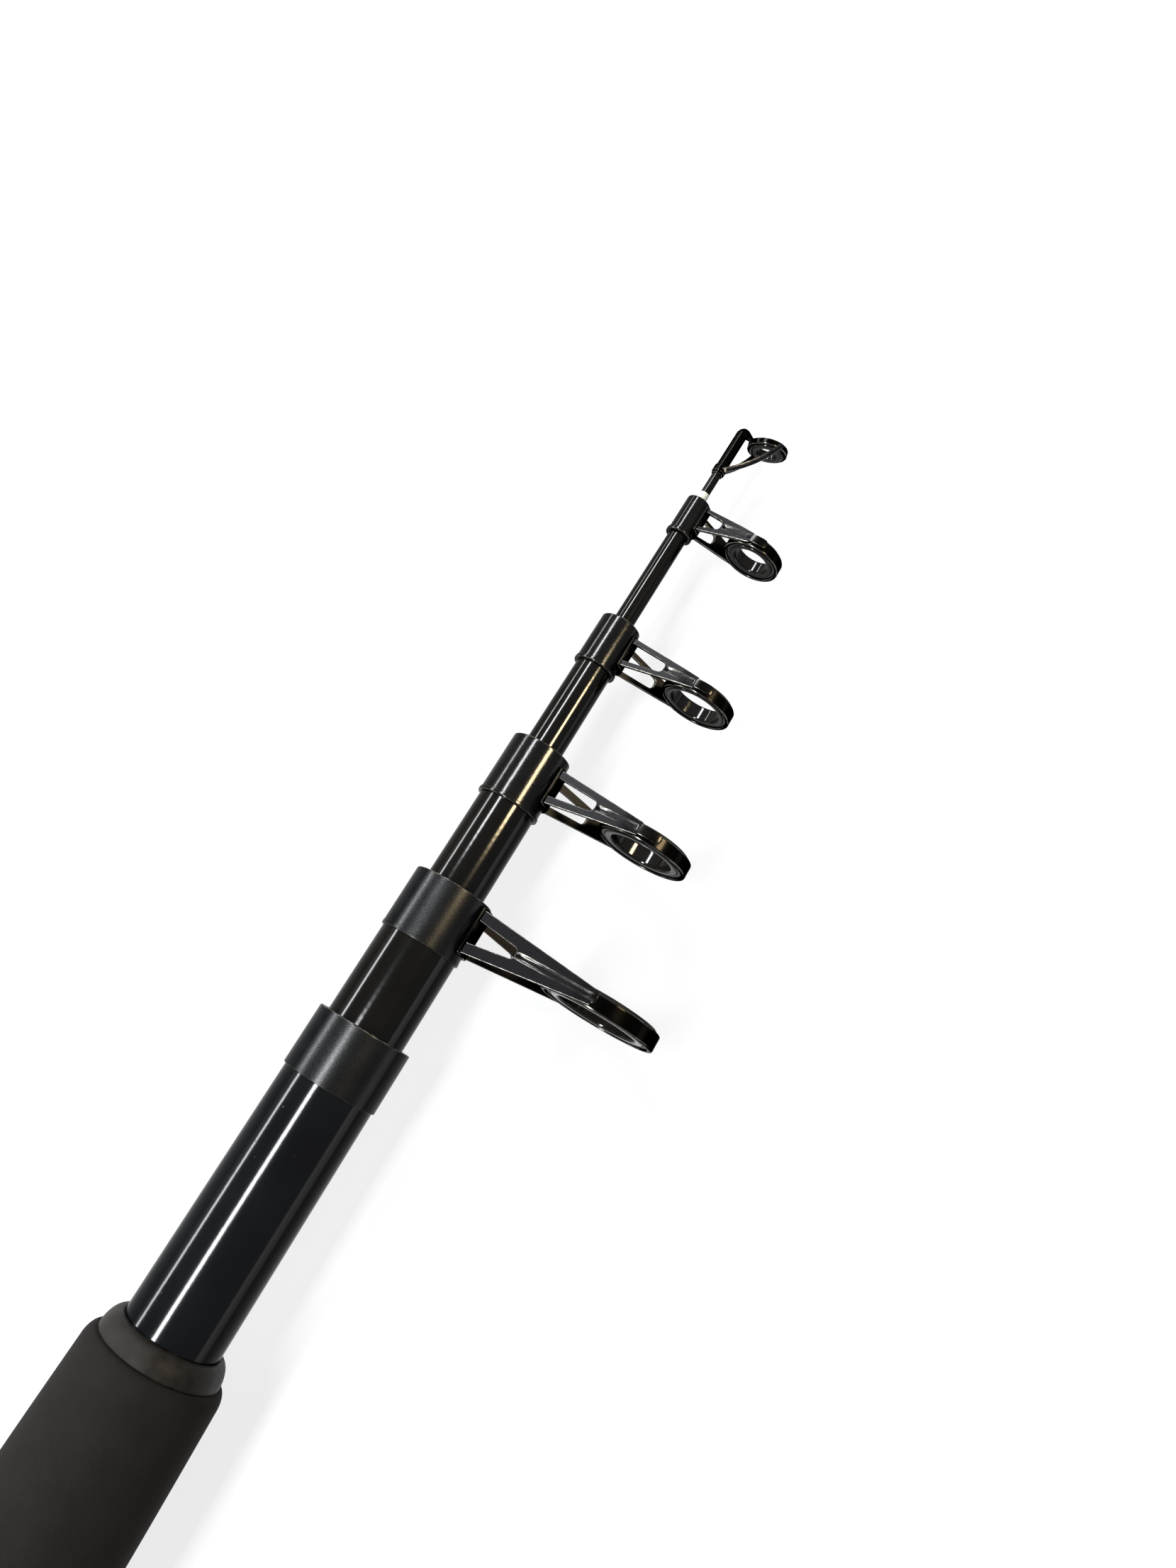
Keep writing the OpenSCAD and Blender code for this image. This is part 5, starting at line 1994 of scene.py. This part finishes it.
@dataclass(frozen=True)
class ButtEnd:
    """The screwed insert in the tube's rear end, and the cap with its thread, seal and soft disc."""

    edge: float = 1.5
    edge_cut: float = 0.4
    pole_r: float = 2.0
    flutes: int = 18
    flute_r: float = 1.2
    flute_run: tuple[float, float] = (-0.2, 0.6)
    head_l: float = 8.0
    head_columns: int = 360
    seal_seat_l: float = 1.65
    spigot_d: float = 16.9618
    spigot_end: float = 20.0
    spigot_edge: float = 0.4
    spigot_form: tuple[tuple[float, float], ...] = ((0.15, 0.6), (0.0, 0.9), (0.0, 1.2))
    pitch: float = 2.0
    thread_depth: float = 0.5
    thread_rows: int = 90
    run_in: float = 0.8
    flange_t: float = 3.0
    thread_bore_d: float = 17.1218
    sleeve_d: float = 19.9218
    seal_seat_d: float = 20.2818
    seal_rows: int = 32
    seal_columns: int = 128

    def build(self, paints: Paints) -> None:
        """Builds the cap, its seal and the insert, and dresses the soft disc.

        Args:
            paints: The materials.
        """
        self.cap(paints)
        self.insert(paints)
        self.seal(paints)
        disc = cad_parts["cap_cushion"].data
        disc.materials.clear()
        disc.materials.append(paints.seal)

    def cap(self, paints: Paints) -> None:
        """The cap: a fluted head with a chamfered flat end, and a spigot with a helical thread.

        Args:
            paints: The materials.
        """
        head_r = node_box("butt_cap").z1
        spigot_r = self.spigot_d / 2
        thread_x = self.head_l + self.seal_seat_l
        front_edge = self.edge / 2
        angle = round_angles(self.head_columns)
        columns = (1, len(angle))
        head, _ = eased(np.array([
            (0.0, self.pole_r), (0.0, head_r - self.edge), (self.edge, head_r),
            (self.head_l - front_edge, head_r), (self.head_l, head_r - front_edge),
            (self.head_l, spigot_r), (thread_x, spigot_r),
        ]), self.edge_cut, closed=False)
        full = np.tile(head[:, 1:], columns)
        flute = fluted(angle, head_r, self.flutes, self.flute_r)[None, :]
        deep = smooth_step(head[:, 0] - self.edge, *self.flute_run)[:, None]
        cut = np.minimum(full, head_r - (head_r - flute) * deep)
        head_grid = np.where((full > spigot_r + 1.0) & (head[:, :1] > 0.0), cut, full)
        rows = np.linspace(thread_x + FIT, self.spigot_end - self.spigot_edge, self.thread_rows)
        fade = smooth_step(rows, thread_x, thread_x + self.run_in)[:, None]
        thread = spigot_r - self.thread_depth * (1.0 - threaded(rows, angle, self.pitch)) * fade
        rounded = [(self.spigot_end - back, spigot_r - down) for back, down in self.spigot_form]
        end = np.array([*rounded, (self.spigot_end, self.pole_r)])
        x = np.concatenate([head[:, 0], rows, end[:, 0]])
        radius = np.concatenate([head_grid, thread, np.tile(end[:, 1:], columns)])
        shell = Shell()
        shell.add(polar(x, radius, angle), capped=True)
        shell.build("butt_cap_moulded", "cap", "cap_plastic", ["butt_cap"], [paints.cap])

    def insert(self, paints: Paints) -> None:
        """The insert: a flange against the tube's end, a sleeve in its bore and the seal's seat.

        Args:
            paints: The materials.
        """
        box = node_box("butt_insert")
        flange_x = box.x0 + self.flange_t
        seat_x = box.x0 + self.seal_seat_l
        sleeve_r = self.sleeve_d / 2
        seat_r = self.seal_seat_d / 2
        bore_r = self.thread_bore_d / 2
        shell = Shell()
        turned(shell, [
            Corner(box.x0, seat_r, cut=0.2), Corner(box.x0, box.z1, cut=0.5),
            Corner(flange_x, box.z1, cut=0.5), Corner(flange_x, sleeve_r, cut=0.1),
            Corner(box.x1, sleeve_r, cut=0.3), Corner(box.x1, bore_r, cut=0.2),
            Corner(seat_x, bore_r, cut=0.2), Corner(seat_x, seat_r, cut=0.1),
        ])
        shell.build("butt_insert_moulded", "handle", "cap_plastic", ["butt_insert"], [paints.cap])

    def seal(self, paints: Paints) -> None:
        """The sealing ring: a circle carried round the spigot.

        Args:
            paints: The materials.
        """
        box = node_box("cap_seal")
        r = (box.x1 - box.x0) / 2
        middle_x = (box.x1 + box.x0) / 2
        middle_r = box.z1 - r
        a = round_angles(self.seal_rows)
        shell = Shell()
        columns = round_angles(self.seal_columns)
        shell.add(polar(middle_x + r * np.sin(a), middle_r + r * np.cos(a), columns))
        shell.build("cap_seal_moulded", "cap_seal", "seal_rubber", ["cap_seal"], [paints.seal])


# Studio

def posed(right: Vector, up: Vector, back: Vector, place: Vector) -> Matrix:
    """The matrix of an object at a place, from its own X, Y and Z directions."""
    return Matrix((*zip(right, up, back, place), (0.0, 0.0, 0.0, 1.0)))


@dataclass(frozen=True)
class Strip:
    """A long soft light that runs along the rod."""

    name: str
    angle: float
    width: float
    radiance: float
    colour: str
    distance: float = 900.0
    start: float = -300.0
    end: float = 1300.0
    gloss_only: bool = False

    def build(self) -> None:
        """Hangs the light over the rod, turned about the rod's axis by its angle towards +Y."""
        turn = math.radians(self.angle)
        along = Vector((1.0, 0.0, 0.0))
        away = Vector((0.0, math.sin(turn), math.cos(turn)))
        side = away.cross(along)
        middle = along * (self.start + self.end) / 2 * MM + away * self.distance * MM
        length = (self.end - self.start) * MM
        light = bpy.data.lights.new(self.name, "AREA")
        light.shape = "RECTANGLE"
        light.size = length
        light.size_y = self.width * MM
        light.color = linear(self.colour)[:3]
        light.energy = self.radiance * math.pi * length * self.width * MM
        lamp = bpy.data.objects.new(self.name, light)
        bpy.context.scene.collection.objects.link(lamp)
        lamp.visible_diffuse = not self.gloss_only
        lamp.matrix_world = posed(along, side, away, middle)


@dataclass(frozen=True)
class Studio:
    """The camera at the photograph's viewing angle, the pale floor and the soft lights."""

    eye: tuple[float, float, float] = (413.2, -12.7, 246.0)
    tilt: float = 15.3
    roll: float = 58.45
    focal_px: float = 1600.0
    height_px: float = 2212.0
    sensor: float = 36.0
    near: float = 10.0
    sky_colour: str = "#fbfcff"
    sky_strength: float = 0.16
    sheet_x: float = 1300.0
    sheet_r: float = 9000.0
    sheet_bend: float = 2600.0
    sheet_rows: int = 13
    strips: tuple[Strip, ...] = (
        Strip("rear_key_strip", 25.0, 120.0, 32.0, "#fbfdff", start=-400.0, end=400.0),
        Strip("front_key_strip", 37.0, 110.0, 26.0, "#fbfdff", start=610.0, end=1400.0),
        Strip("low_strip", 76.0, 80.0, 20.0, "#fbfdff"),
        Strip("warm_strip", -27.0, 170.0, 42.0, "#ffe6b8", start=640.0, end=830.0, gloss_only=True),
    )

    def build(self) -> None:
        """Makes the camera, the floor, the lights and the world."""
        self.camera()
        self.floor()
        for strip in self.strips:
            strip.build()
        world = bpy.data.worlds.new("soft_room")
        world.use_nodes = True
        tree = world.node_tree
        tree.nodes.clear()
        sky = add(tree, Kind.SKY, {"Color": linear(self.sky_colour), "Strength": self.sky_strength})
        add(tree, Kind.WORLD, {"Surface": sky})
        bpy.context.scene.world = world
        bpy.context.scene.view_settings.view_transform = "Standard"

    def camera(self) -> None:
        """Sets the camera from the eye's place, the lean of its view and its roll."""
        tilt = math.radians(self.tilt)
        roll = math.radians(self.roll)
        look = Vector((math.sin(tilt), 0.0, -math.cos(tilt)))
        along = Vector((math.cos(tilt), 0.0, math.sin(tilt)))
        right = math.cos(roll) * along + math.sin(roll) * Vector((0.0, -1.0, 0.0))
        up = math.sin(roll) * along + math.cos(roll) * Vector((0.0, 1.0, 0.0))
        data = bpy.data.cameras.new("photo_camera")
        data.sensor_fit = "VERTICAL"
        data.sensor_height = self.sensor
        data.lens = self.focal_px / self.height_px * self.sensor
        data.clip_start = self.near * MM
        made = bpy.data.objects.new("photo_camera", data)
        bpy.context.scene.collection.objects.link(made)
        made.matrix_world = posed(right, up, -look, Vector(self.eye) * MM)
        bpy.context.scene.camera = made

    def floor(self) -> None:
        """Lays a white paper sheet under the grips: a flat round, far away bent up a quarter circle."""
        turn = np.linspace(0.0, QUARTER, self.sheet_rows)
        radius = self.sheet_r + self.sheet_bend * np.sin(turn)
        height = node_box("foregrip").z0 + self.sheet_bend * (1.0 - np.cos(turn))
        angle = round_angles(THIN_ROUND)
        x = self.sheet_x + radius[:, None] * np.cos(angle)
        y = radius[:, None] * np.sin(angle)
        z = np.repeat(height[:, None], len(angle), axis=1)
        points = np.stack([x, y, z], axis=-1).reshape(-1, 3) * MM
        index = np.arange(len(points)).reshape(x.shape)
        beside = np.roll(index, -1, axis=1)
        bend = np.stack([index[:-1], index[1:], beside[1:], beside[:-1]], axis=-1).reshape(-1, 4)
        faces = [index[0].tolist(), *bend.tolist()]
        mesh = bpy.data.meshes.new("studio_floor")
        mesh.from_pydata(points.tolist(), [], faces)
        mesh.polygons.foreach_set("use_smooth", [True] * len(faces))
        mesh.materials.append(
            MattPaper("white_matt_paper", "#808080", "#858585", 0.9, specular=0.0).material())
        sheet = bpy.data.objects.new("studio_floor", mesh)
        bpy.context.scene.collection.objects.link(sheet)


def main() -> None:
    """Builds the studio and then the rod, from its blank to its butt end."""
    logging.basicConfig(level=logging.INFO, format="%(name)s: %(message)s")
    Studio().build()
    paints = Paints()
    Blank().build(paints)
    GuideSet().build(paints)
    TipTop().build(paints)
    Grips().build(paints)
    ReelSeat().build(paints)
    ButtEnd().build(paints)


if __name__ == "__main__":
    main()
